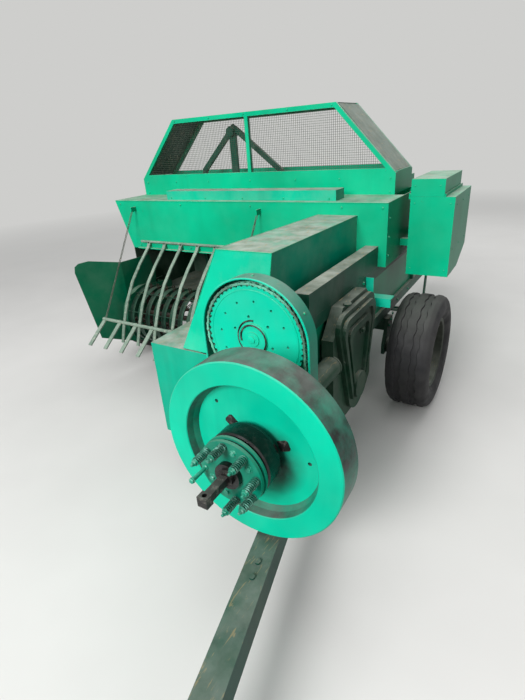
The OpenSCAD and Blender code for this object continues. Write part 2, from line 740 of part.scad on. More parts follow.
module flywheel() color(green) {
    h = fly_w;
    web_y = 52;
    translate([fly_x, fly_front_y, fly_z]) rotate([-90, 0, 0]) difference() {
        rotate_extrude($fn = 96) polygon([[shaft_r, web_y - 20], [70, web_y - 20], [74, web_y],
            [fly_rim_in - 16, web_y], [fly_rim_in - 6, 30], [fly_rim_in, 3], [fly_rim_in + 3, 0],
            [fly_r - 4, 0], [fly_r, 4], [fly_r, h - 4], [fly_r - 4, h], [fly_rim_in, h],
            [fly_rim_in - 16, web_y + fly_web], [80, web_y + fly_web], [76, h - 10], [shaft_r, h - 10]]);
        for (a = [-135, 0]) rotate([0, 0, a]) translate([205, 0, web_y - 1]) cylinder(h = fly_web + 2, r = 7);
    }
    tube([fly_x, fly_front_y + 10, fly_z], "y", gear_y0 - fly_front_y - 10 - 0.5, shaft_r);
    translate([fly_x, disc_y, fly_z]) sprocket(pinion_pitch_r, pinion_teeth, 8);
    tube([fly_x, fly_front_y + h - 10, fly_z], "y", 60, 62);
}

// Lining drum, the lining ring between the two pressure plates, and the hub
module clutch() color(black) {
    translate([fly_x, fly_front_y, fly_z]) rotate([-90, 0, 0]) {
        rotate_extrude($fn = 64) polygon([[shaft_r + 1, 32], [drum_r - 12, 32], [drum_r - 4, 24],
            [drum_r, 12], [drum_r, -48], [drum_r - 5, -54], [drum_r - 12, -56], [drum_r - 12, -66],
            [shaft_r + 1, -66]]);
        translate([0, 0, -86]) rotate_extrude($fn = 64) polygon([[0, seat], [plate_r - 7, seat],
            [plate_r - 5, 2], [plate_r - 5, 8], [plate_r - 7, 10 - seat], [0, 10 - seat]]);
        translate([0, 0, -118]) cylinder(h = 20 - seat, r = 46);
    }
}

// The two pressure plates
module clutch_plates() color(green) {
    translate([fly_x, fly_front_y, fly_z]) rotate([-90, 0, 0]) {
        translate([0, 0, -76]) cylinder(h = 10 - seat, r = plate_r + 2, $fn = 64);
        translate([0, 0, -98]) cylinder(h = 12, r = plate_r, $fn = 64);
    }
}

module clutch_springs() color(dark_green) {
    y0 = plate_y0;
    half = spring_len / spring_coils / 2;
    for (i = [0 : clutch_n - 1]) {
        a = 8 + i * 360 / clutch_n;
        sleeve = i == round(clutch_n / 2);
        translate([fly_x + clutch_pcr * cos(a), y0, fly_z + clutch_pcr * sin(a)]) rotate([90, 0, 0]) {
            if (sleeve) {
                cylinder(h = spring_len + 8, r = 7);
                translate([0, 0, spring_len + 8]) cylinder(h = 8, r = 11, $fn = 6);
            } else {
                rotate_extrude($fn = 24) polygon(concat([[0, 0]],
                    [for (k = [0 : 2 * spring_coils]) [k % 2 == 0 ? spring_r - 3 : spring_r, k * half]],
                    [[0, spring_len]]));
                translate([0, 0, spring_len]) cylinder(h = 3, r = spring_r);
                translate([0, 0, spring_len + 3]) cylinder(h = 9, r = 10, $fn = 6);
                translate([0, 0, spring_len + 12]) cylinder(h = 10, r = 5);
            }
        }
        b = a + 180 / clutch_n;
        translate([fly_x + (clutch_pcr - 14) * cos(b), y0, fly_z + (clutch_pcr - 14) * sin(b)])
            rotate([90, 0, 0]) cylinder(h = 9, r = 12, $fn = 6);
    }
}

module drive_stub() color(steel) {
    y1 = hub_y0;
    half = 14;
    end = 18;
    block([fly_x - half, y1 - 95, fly_z - half], [fly_x + half, y1, fly_z + half]);
    tube([fly_x, y1 - 12, fly_z], "y", 12, 28);
    difference() {
        block([fly_x - end, y1 - 125, fly_z - end], [fly_x + end, y1 - 95, fly_z + end]);
        tube([fly_x, y1 - 110, fly_z - 30], "z", 60, 8);
    }
}

// Wheels

module tyre(w) {
    groove_r = tyre_r - 8;
    half = [[rim_r, w * 0.34], [rim_r + 12, w * 0.36], [rim_r + 30, w * 0.44], [tyre_r - 70, w / 2],
        [tyre_r - 22, w * 0.45], [tyre_r - 3, w * 0.34], [tyre_r, w * 0.24], [groove_r, w * 0.22],
        [groove_r, w * 0.1], [tyre_r, w * 0.08]];
    n = len(half) - 1;
    rotate([0, 90, 0]) rotate_extrude($fn = 64)
        polygon(concat([for (q = half) [q[0], -q[1]]], [for (i = [n : -1 : 0]) half[i]]));
}

// Rim with its dished disc; out is +1 when the outside faces +X
module rim(w, out, hub_in) {
    cap = 70;
    side = [[rim_r + 10, w * 0.4], [rim_r + 10, w * 0.375], [rim_r - seat, w * 0.35]];
    difference() {
        rotate([0, out * 90, 0]) rotate_extrude($fn = 64) polygon(concat(
            [[stub_r + fit, hub_in], [48, hub_in], [48, 10], [rim_r - 30, -6], [rim_r - 14, -w * 0.28],
                [rim_r - 8, -w * 0.38]],
            [for (q = side) [q[0], -q[1]]],
            [for (i = [2 : -1 : 0]) side[i]],
            [[rim_r - 8, w * 0.38], [rim_r - 14, w * 0.28], [rim_r - 26, 4], [70, 22], [58, 30], [54, cap],
                [0, cap], [0, cap - 7], [stub_r + fit, cap - 7]]));
        for (a = [0 : 72 : 359]) rotate([a, 0, 0]) translate([0, 0, 120]) rotate([0, 90, 0])
            cylinder(h = 120, r = 16, center = true);
    }
}

module tyre_left() color(black) translate([tyre_l_x, 0, axle_z]) tyre(tyre_l_w);
module rim_left() color(steel) translate([tyre_l_x, 0, axle_z]) rim(tyre_l_w, 1, rail_x + 20.5 - tyre_l_x);
module tyre_right() color(black) translate([tyre_r_x, 0, axle_z]) tyre(tyre_r_w);
module rim_right() color(steel) translate([tyre_r_x, 0, axle_z]) rim(tyre_r_w, -1, -(tyre_r_w / 2 + 1.5));

// Pickup

// Side plate of the pickup: round nose, an arm to its hinge and an ear for the windguard
module side_outline() {
    difference() {
        union() {
            translate([reel_y, reel_z]) circle(r = band_r + 12);
            polygon([[reel_y, reel_z + band_r + 8], [hinge_y - 10, hinge_z + 26],
                [hinge_y + 20, hinge_z + 14], [hinge_y + 20, hinge_z - 20],
                [reel_y + 150, reel_z - 150], [reel_y, reel_z - band_r]]);
            polygon([[guard_hinge_y - 26, guard_hinge_z - 10], [guard_hinge_y - 14, guard_hinge_z + 26],
                [guard_hinge_y + 30, guard_hinge_z + 30], [reel_y, reel_z + band_r + 10],
                [reel_y - 150, reel_z + 60]]);
        }
        translate([reel_y, reel_z]) circle(r = 18 + fit);
        translate([guard_hinge_y, guard_hinge_z]) circle(r = 10 + fit);
    }
}

module pickup_frame() color(green) {
    for (x = [side_x0, side_x1]) plate_x(x, 6) side_outline();
    tube([house_low_x + sheet + 2, hinge_y, hinge_z], "x", side_x0 - house_low_x - sheet - 2, 10);
    tube([side_x1 + 6, hinge_y, hinge_z], "x", -rail_x - side_x1 - 8, 10);
    fold_y = -430;
    x0 = side_x0 - 54;
    difference() {
        tube([x0, reel_y, reel_z], "x", 54, band_r);
        tube([x0 + 1, reel_y, reel_z], "x", 60, 30);
    }
    plate_x(x0 - sheet, sheet)
        polygon([[fold_y, 227], [fold_y, 850], [-150, 840], [-110, 700], [-150, 420], [-300, 230]]);
    flare = [-302, 130];
    translate([x0, fold_y, 0]) rotate([0, 0, -atan2(flare[1], -flare[0])]) translate([0, -fold_y, 0])
        plate_x(-sheet, sheet) polygon([[fold_y, 227], [fold_y, 850], [fold_y - 220, 902],
            [fold_y - 290, 898], [fold_y - 318, 880], [fold_y - 326, 840], [fold_y - 252, 332]]);
    block([side_x0 + 6, hinge_y - 36, hinge_z - 41], [side_x1, hinge_y - 24, hinge_z - 29]);
    block([side_x0 + 6, reel_y + 130, reel_z - 240], [side_x1, reel_y + 142, reel_z - 222]);
}

// Point at radius r and angle a around the reel's shaft, in the YZ plane
function reel_point(r, a) = [reel_y + r * cos(a), reel_z + r * sin(a)];

module stripper_bands() color(dark_green) {
    inner_r = band_r - band_t;
    back_y = hinge_y - 36 - seat;
    low_y = reel_y + 130 - seat;
    for (i = [0 : band_n - 1]) {
        plate_x(band_x0 + i * band_pitch - band_w / 2, band_w) {
            difference() {
                translate([reel_y, reel_z]) circle(r = band_r);
                translate([reel_y, reel_z]) circle(r = inner_r);
                polygon([[reel_y, reel_z], reel_point(400, 60), [reel_y + 600, reel_z + 100],
                    [reel_y + 600, reel_z - 500], reel_point(400, 300)]);
            }
            polygon([reel_point(band_r, 60), [back_y, hinge_z - 30], [back_y, hinge_z - 34],
                reel_point(inner_r, 60)]);
            polygon([reel_point(band_r, 300), [low_y, reel_z - 230], [low_y, reel_z - 235],
                reel_point(band_r - 2, 297)]);
        }
    }
}

module pickup_reel() color(rust) {
    tube([side_x0 + 0.5, reel_y, reel_z], "x", side_x1 - side_x0 + 27.5, 18);
    for (x = [side_x0 + 10, side_x1 - 18]) {
        tube([x, reel_y, reel_z], "x", 8, 60);
        for (k = [0 : tine_bar_n - 1]) rotate_about_reel(k * 360 / tine_bar_n)
            block([x, reel_y - 18, reel_z], [x + 8, reel_y + 18, reel_z + tine_bar_r]);
    }
    for (k = [0 : tine_bar_n - 1]) rotate_about_reel(k * 360 / tine_bar_n) {
        tube([side_x0 + 10, reel_y, reel_z + tine_bar_r], "x", side_x1 - side_x0 - 20, 13);
        for (i = [0 : band_n - 2]) {
            x = band_x0 + (i + 0.5) * band_pitch;
            for (dx = [-9, 9]) {
                bar([x + dx, reel_y, reel_z + tine_bar_r], [x + dx, reel_y - 14, reel_z + tine_tip_r - 5],
                    tine_wire_r);
            }
        }
    }
}

// Turns a piece about the reel's shaft
module rotate_about_reel(a) {
    translate([0, reel_y, reel_z]) rotate([a, 0, 0]) translate([0, -reel_y, -reel_z]) children();
}

// Fixed flat rods that hang from the rail below the panel and hold the crop on the bands
module feed_rods() color(steel) {
    tube([house_low_x + 100, rail_pipe_y, rail_pipe_z], "x", -case_out_x - house_low_x - 100, 9);
    path = [[rail_pipe_y, rail_pipe_z], [-234, 918], [-345, 820], [-440, 722], [-528, 590], [-598, 440],
        [-640, 320]];
    for (i = [0 : 2 : band_n - 1]) {
        plate_x(band_x0 + i * band_pitch - feed_rod_w / 2, feed_rod_w) strap(path, feed_rod_t);
    }
}

module windguard() color(steel) {
    x0 = chain_low_x[0];
    arm_x = side_x1 - 17;
    tube([x0, cross_y, cross_z], "x", arm_x + 8 - x0, cross_bar_r);
    for (i = [0 : 7]) {
        translate([x0 + 15 + i * 2 * band_pitch, cross_y, cross_z]) rotate([37, 0, 0])
            translate([-15, -215, -7]) cube([30, 215, 8]);
    }
    plate_x(arm_x, 8) difference() {
        hull() {
            translate([cross_y, cross_z]) circle(r = 20, $fn = 32);
            translate([guard_hinge_y, guard_hinge_z]) circle(r = 20, $fn = 32);
        }
    }
    tube([arm_x + 8, guard_hinge_y, guard_hinge_z], "x", 30, 10);
    tube([side_x1 + 7, guard_hinge_y, guard_hinge_z], "x", 14, 18);
}

// Chains from the panel's hooks to the windguard's cross bar
module windguard_chains() color(rust) {
    for (k = [0, 1]) {
        top = [hook_x[k], panel_y - 42, lid_z + 268 - 1.3];
        low = [chain_low_x[k] + 6 - 12 * k, cross_y + 0.83 * (cross_bar_r + 2.2) + 2,
            cross_z - 0.56 * (cross_bar_r + 2.2) + 2];
        d = low - top;
        n = 17;
        pitch = norm(d) / n;
        for (i = [0 : n - 1]) {
            translate(top + d * i / n) rotate([0, acos(d[2] / norm(d)), atan2(d[1], d[0])])
                rotate([0, 0, (i + 1) % 2 * 90]) chain_link(pitch + 3);
        }
    }
}

// One link of rod, drawn as a long six sided ring
module chain_link(len) {
    h = 3.2;
    translate([-8, -h / 2, 0]) rotate([90, 0, 0]) translate([0, 0, -h]) linear_extrude(h) difference() {
        polygon([[4, 0], [12, 0], [16, 5], [16, len - 5], [12, len], [4, len], [0, len - 5], [0, 5]]);
        polygon([[5, 4], [11, 4], [12, 7], [12, len - 7], [11, len - 4], [5, len - 4], [4, len - 7], [4, 7]]);
    }
}

// Knotter, needles and tension rails

module knotter_frame() color(green) {
    y0 = house_rear_y + 4;
    for (x = [-190, 170]) {
        block([x, y0, lid_z], [x + 20, y0 + 230, lid_z + 330]);
    }
    difference() {
        block([-190, y0 + 20, lid_z + 330], [190, y0 + 260, lid_z + 400]);
        block([-184, y0 + 14, lid_z + 329], [184, y0 + 254, lid_z + 394]);
    }
    block([-170, y0 + 60, lid_z], [170, y0 + 72, lid_z + 50]);
}

module knotter_shaft() color(steel) {
    y = knotter_y;
    z = lid_z + 210;
    tube([-170 + seat, y, z], "x", 340 - 2 * seat, 18);
    for (x = [-95, 65]) {
        tube([x, y, z], "x", 30, 92);
        tube([x - 30, y, z], "x", 30, 60);
        block([x - 10, y - 40, lid_z + 50 + seat], [x + 20, y + 10, z - 52]);
    }
    tube([190 + seat, y, z], "x", 40, 70);
    tube([190 + seat, y, z], "x", 60, 18);
}

module needle_yoke() color(dark_green) {
    arm_x = rail_x + 6;
    at = [0, needle_y, needle_z];
    translate(at) {
        for (s = [-1, 1]) {
            x = s > 0 ? arm_x : -arm_x - 12;
            translate([x, 0, 0]) rotate([90, 0, 90]) linear_extrude(12) difference() {
                union() {
                    circle(r = 34);
                    rotate(-100) translate([0, -20]) square([needle_r + 18, 40]);
                }
                circle(r = 16 + fit);
            }
        }
        rotate([-100, 0, 0]) translate([-arm_x, needle_r - 18, -18]) cube([2 * arm_x, 36, 36]);
        for (x = [-80, 80]) {
            translate([x, 0, 0]) rotate([90, 0, 90]) rotate(-154)
                rotate_extrude(angle = 52, $fn = 90) translate([needle_r, 0])
                    circle(r = needle_wire_r, $fn = 16);
        }
    }
}

// Two cross rails pulled together over the bale by screws and coil springs
module tension_rails() color(green) {
    low_z = case_floor_z - case_wall - 50;
    screw_r = 9;
    half = 130 / tension_coils / 2;
    spring = [for (k = [0 : 2 * tension_coils]) [k % 2 == 0 ? 19 : 24, k * half]];
    for (y = [case_rear_y - 480, case_rear_y - 180]) {
        for (z = [low_z, lid_z]) {
            difference() {
                block([-rail_x - 60, y, z], [rail_x + 60, y + 60, z + 50]);
                block([-rail_x - 61, y + 6, z + 6], [rail_x + 61, y + 54, z + 51]);
                for (x = [-rail_x - 32, rail_x + 32]) tube([x, y + 30, z - 1], "z", 8, screw_r + fit);
            }
        }
        for (x = [-rail_x - 32, rail_x + 32]) {
            translate([x, y + 30, 0]) {
                tube([0, 0, low_z - 8], "z", lid_z - low_z + 190, screw_r);
                translate([0, 0, low_z - 10 - seat]) cylinder(h = 10, r = 16, $fn = 6);
                translate([0, 0, lid_z + 6 + seat]) rotate_extrude($fn = 24)
                    polygon(concat([[screw_r - 1, 0]], spring, [[screw_r - 1, 130]]));
                tube([0, 0, lid_z + 136], "z", 8, 26);
                tube([0, 0, lid_z + 144], "z", 22, 16);
            }
        }
    }
    for (x = [-case_in_x + seat, case_in_x - 90]) {
        block([x, case_rear_y - 520, case_top_z + 2], [x + 90 - seat, case_rear_y, lid_z]);
    }
}

module bale_chute() color(green) {
    z = case_floor_z - case_wall;
    y0 = case_rear_y + 30;
    block([-190, y0, z - 4], [190, y0 + chute_len, z]);
    for (s = [-1, 1]) {
        block([s > 0 ? 186 : -190, y0 + 90, z], [s > 0 ? 190 : -186, y0 + chute_len, z + 70]);
        block([s * 130 - 22, y0 - 12, z - 20], [s * 130 + 22, y0 + 60, z - 4]);
        tube([s * 130 - 44, y0 - 12, z - 12], "x", 88, 8);
    }
}

// Twine box

module twine_box() color(green) {
    x1 = box_x + box_w;
    y1 = box_y + box_len;
    z1 = box_z + box_h;
    bend_y = box_y + box_len * 0.55;
    difference() {
        plate_x(box_x, box_w)
            polygon([[box_y, box_z], [bend_y, box_z], [y1, box_z + 90], [y1, z1], [box_y, z1]]);
        plate_x(box_x + sheet, box_w - 2 * sheet)
            polygon([[box_y + sheet, box_z + sheet], [bend_y - 2, box_z + sheet],
                [y1 - sheet, box_z + 90 + sheet], [y1 - sheet, z1 + 1], [box_y + sheet, z1 + 1]]);
    }
    block([x1 - 54, box_y, z1], [x1 - 49, y1, z1 + 16]);
    block([x1 - 54, box_y, z1 - 5], [x1 - sheet, y1, z1]);
    for (y = [box_y + 60, y1 - 120]) {
        block([house_left_x, y, box_z + 150], [box_x, y + 40, box_z + 190]);
    }
    for (y = [box_y + 40, y1 - 110]) for (end = [-16, 44]) {
        plate_y(y + end, 12) translate([box_x - 8, z1 + 8.5]) difference() {
            union() {
                polygon([[-8, -24.5], [8, -24.5], [8, -8.5], [7, -8.5], [7, 0], [0, 0], [0, 7], [-8, 7]]);
                circle(r = 7.6);
            }
            circle(r = 5 + fit);
        }
    }
}

module twine_lid() color(green) {
    x1 = box_x + box_w - 56;
    y1 = box_y + box_len - 30;
    z0 = box_z + box_h + 0.5;
    difference() {
        block([box_x, box_y, z0], [x1, y1, z0 + lid_h]);
        block([box_x + 4, box_y + 4, z0 - 1], [x1 - 4, y1 - 4, z0 + lid_h - 4]);
    }
    for (y = [box_y + 40, y1 - 80]) {
        tube([box_x - 8, y - 24, z0 + 8], "y", 88, 5);
        tube([box_x - 8, y, z0 + 8], "y", 40, 9);
        block([box_x - 8, y, z0], [box_x, y + 40, z0 + 17]);
    }
}

module step_tab() color(green) {
    block([rail_x, -380, 740], [rail_x + 40, -374, lid_z - 10]);
    block([rail_x + 36, -430, 800], [rail_x + 150, -370, 806]);
    block([rail_x + 36, -436, 760], [rail_x + 150, -430, 806]);
}

// Drawbar

module along_tongue() {
    translate([pivot_x, pivot_y, 0]) rotate([0, 0, tongue_a]) children();
}

module tongue() color(dark_green) {
    z0 = tongue_top_z - tongue_h;
    along_tongue() {
        difference() {
            union() {
                block([-tongue_w / 2, -tongue_len + 60, z0], [tongue_w / 2, 42, tongue_top_z]);
                for (z = [z0 + 10, tongue_top_z - 30]) {
                    block([-tongue_w / 2 + 4, -tongue_len - 60, z],
                        [tongue_w / 2 - 4, -tongue_len + 60, z + 20]);
                }
            }
            block([-tongue_w / 2 + 6, -tongue_len + 66, z0 + 6], [tongue_w / 2 - 6, -60, tongue_top_z - 6]);
            tube([0, 0, z0 - 1], "z", tongue_h + 2, pivot_r + fit);
            tube([0, -tongue_len, z0 - 1], "z", tongue_h + 2, hitch_r);
        }
        for (y = [-760, -820]) tube([0, y, tongue_top_z], "z", 8, 10);
    }
}

module jack() color(steel) {
    x = -tongue_w / 2;
    y = -tongue_len + 330;
    leg_x = x - 52;
    along_tongue() {
        block([x - 22, y - 40, tongue_top_z - 90], [x, y + 40, tongue_top_z - 10]);
        difference() {
            tube([leg_x, y, 130], "z", 480, 32);
            tube([leg_x, y, 120], "z", 480, 25);
        }
        tube([leg_x, y, 8], "z", 592.5, 24.7);
        tube([leg_x, y, 0], "z", 8, 80);
        tube([leg_x, y, 610], "z", 26, 14);
        block([leg_x - 100, y - 8, 636], [leg_x + 8, y + 8, 644]);
        tube([leg_x - 92, y, 644], "z", 70, 9);
    }
}

placed() axle_beam();
placed() drawbar_bracket();
placed() bale_case();
placed() case_rails();
placed() plunger_head();
placed() feeder_housing();
placed() feed_table();
placed() step_box();
placed() guard_base();
placed() guard_frame();
placed() guard_mesh();
placed() guard_sides();
placed() feeder_forks();
placed() hood();
placed() front_shield();
placed() gearcase();
placed() gearcase_cover();
placed() chain_guard();
placed() drive_chain();
placed() knotter_frame();
placed() knotter_shaft();
placed() tension_rails();
placed() twine_box();
placed() feed_rods();
placed() step_tab();
placed() windguard_chains();
placed() flywheel();
placed() clutch();
placed() clutch_plates();
placed() clutch_springs();
placed() drive_stub();
placed() drive_disc();
placed() tyre_left();
placed() rim_left();
placed() tyre_right();
placed() rim_right();
placed() pickup_frame();
placed() stripper_bands();
placed() pickup_reel();
placed() windguard();
placed() needle_yoke();
placed() twine_lid();
placed() bale_chute();
placed() tongue();
placed() jack();
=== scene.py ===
import math

import bmesh
import bpy
from mathutils import Matrix, Vector


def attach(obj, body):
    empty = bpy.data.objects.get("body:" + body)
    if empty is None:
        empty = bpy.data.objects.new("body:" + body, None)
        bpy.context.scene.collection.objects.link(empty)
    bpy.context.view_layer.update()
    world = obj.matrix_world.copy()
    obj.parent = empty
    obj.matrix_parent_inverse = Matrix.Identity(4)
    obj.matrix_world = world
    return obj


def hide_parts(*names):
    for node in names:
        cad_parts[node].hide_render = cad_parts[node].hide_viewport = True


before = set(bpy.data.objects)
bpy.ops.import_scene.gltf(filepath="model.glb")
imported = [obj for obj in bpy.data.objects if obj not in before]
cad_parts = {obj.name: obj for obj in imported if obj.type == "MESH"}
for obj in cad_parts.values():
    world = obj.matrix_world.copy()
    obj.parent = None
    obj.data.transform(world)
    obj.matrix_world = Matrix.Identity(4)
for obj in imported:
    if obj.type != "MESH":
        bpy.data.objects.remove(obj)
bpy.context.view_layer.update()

# Working frame in mm (bale case centre line, wheel axis, ground) to the row frame in metres
MID_X, MID_Y = -593.5606, -359.3817


def P(x, y, z):
    """A point of the working frame in the row frame."""
    return Vector(((x - MID_X) / 1000, (y - MID_Y) / 1000, z / 1000))


# Places of the machine, in the working frame

FLY = Vector((300, -1639, 648))       # flywheel's axle, at its front face
DISC = Vector((129, -1285, 900))      # large sprocket's axle, at its middle
HOUSE_X0, HOUSE_X1 = -1750, 300       # feeder housing's ends
PANEL_Y, REAR_Y = -200, 456           # its front panel's top edge and its rear wall
TOP_Z, LID_Z = 1243, 902              # its top, and the bale case's
GUARD_Y, GUARD_Z = 106, 1300          # windowed guard's front face and its base
RAIL_X = 254.5                        # outer face of the bale case's rails
REEL_Y, REEL_Z = -300, 430            # reel's axle
BAND_X0, BAND_STEP = -1459, 76        # first stripper band, and their spacing
CROSS_Y, CROSS_Z = -686, 510          # windguard's cross bar
NEEDLE_Y, NEEDLE_Z = 1035, 718        # needle yoke's axle
KNOT_Y, KNOT_Z = 560, 1112            # knotter shaft
WHEEL_Z = 345.0                       # wheels' axle
FRONT = Vector((0, -1, 0))
LEFT = Vector((1, 0, 0))


# Materials

def srgb(r, g, b):
    """An 8-bit colour as the linear one that the shaders take."""
    def lin(c):
        c = c / 255
        return c / 12.92 if c <= 0.04045 else ((c + 0.055) / 1.055) ** 2.4
    return (lin(r), lin(g), lin(b), 1.0)


class Tree:
    """Short calls for the nodes of one material."""

    def __init__(self, name):
        self.mat = bpy.data.materials.new(name)
        self.mat.use_nodes = True
        self.nt = self.mat.node_tree
        self.nt.nodes.clear()
        self.out = self.nt.nodes.new("ShaderNodeOutputMaterial")
        self.bsdf = self.nt.nodes.new("ShaderNodeBsdfPrincipled")
        self.nt.links.new(self.bsdf.outputs[0], self.out.inputs[0])
        self.co = self.nt.nodes.new("ShaderNodeTexCoord").outputs["Object"]
        self.geo = self.nt.nodes.new("ShaderNodeNewGeometry")

    def link(self, a, b):
        self.nt.links.new(a, b)

    def noise(self, scale, detail=4.0, rough=0.55, squash=None, distort=0.0):
        n = self.nt.nodes.new("ShaderNodeTexNoise")
        n.inputs["Scale"].default_value = scale
        n.inputs["Detail"].default_value = detail
        n.inputs["Roughness"].default_value = rough
        n.inputs["Distortion"].default_value = distort
        co = self.co
        if squash:
            m = self.nt.nodes.new("ShaderNodeMapping")
            m.inputs["Scale"].default_value = squash
            self.link(self.co, m.inputs[0])
            co = m.outputs[0]
        self.link(co, n.inputs["Vector"])
        return n.outputs["Fac"]

    def ramp(self, fac, *stops):
        n = self.nt.nodes.new("ShaderNodeValToRGB")
        e = n.color_ramp.elements
        while len(e) < len(stops):
            e.new(0.5)
        for el, (pos, col) in zip(e, stops):
            el.position = pos
            el.color = col if isinstance(col, tuple) else (col, col, col, 1)
        self.link(fac, n.inputs[0])
        return n.outputs[0]

    def math(self, op, a, b=None, clamp=False):
        n = self.nt.nodes.new("ShaderNodeMath")
        n.operation = op
        n.use_clamp = clamp
        for i, v in enumerate((a, b)):
            if v is None:
                continue
            if isinstance(v, (int, float)):
                n.inputs[i].default_value = v
            else:
                self.link(v, n.inputs[i])
        return n.outputs[0]

    def mix(self, fac, a, b):
        n = self.nt.nodes.new("ShaderNodeMix")
        n.data_type = "RGBA"
        for i, v in ((0, fac), (6, a), (7, b)):
            if isinstance(v, (int, float)):
                n.inputs[i].default_value = v
            elif isinstance(v, tuple):
                n.inputs[i].default_value = v
            else:
                self.link(v, n.inputs[i])
        return n.outputs[2]

    def facing_raw(self, axis):
        """The surface normal's own part along axis, -1 to 1."""
        sep = self.nt.nodes.new("ShaderNodeSeparateXYZ")
        self.link(self.geo.outputs["Normal"], sep.inputs[0])
        return sep.outputs[axis]

    def facing(self, axis=2, low=0.35, high=0.9):
        """1 where the surface faces along +axis, 0 elsewhere."""
        return self.span(self.facing_raw(axis), low, high)

    def span(self, value, low, high):
        """0 at low and 1 at high, held beyond them."""
        m = self.nt.nodes.new("ShaderNodeMapRange")
        m.inputs["From Min"].default_value = low
        m.inputs["From Max"].default_value = high
        self.link(value, m.inputs[0])
        return m.outputs[0]

    def up(self, low=0.35, high=0.9):
        """1 on upward faces."""
        return self.facing(2, low, high)

    def radius(self, x, z, low, high):
        """0 inside and 1 outside a circle around an axle along Y, both in the row frame."""
        sep = self.nt.nodes.new("ShaderNodeSeparateXYZ")
        self.link(self.co, sep.inputs[0])
        dx = self.math("SUBTRACT", sep.outputs[0], x)
        dz = self.math("SUBTRACT", sep.outputs[2], z)
        d = self.math("SQRT", self.math("ADD", self.math("MULTIPLY", dx, dx), self.math("MULTIPLY", dz, dz)))
        return self.span(d, low, high)

    def bump(self, h, strength=0.2, dist=0.002):
        n = self.nt.nodes.new("ShaderNodeBump")
        n.inputs["Strength"].default_value = strength
        n.inputs["Distance"].default_value = dist
        self.link(h, n.inputs["Height"])
        self.link(n.outputs[0], self.bsdf.inputs["Normal"])

    def set(self, **k):
        for key, v in k.items():
            s = self.bsdf.inputs[key.replace("_", " ")]
            if isinstance(v, (int, float, tuple)):
                s.default_value = v
            else:
                self.link(v, s)
        return self.mat


# Light bluish tone for dusty tops, made lighter to stand in for the sky's sheen: part dirt, part painted
# reflection
DUST_AND_SHEEN = srgb(178, 182, 172)
CHAFF = srgb(176, 152, 106)
RUST = srgb(96, 58, 36)
RUST_DARK = srgb(58, 36, 26)
GRIME = srgb(28, 34, 30)


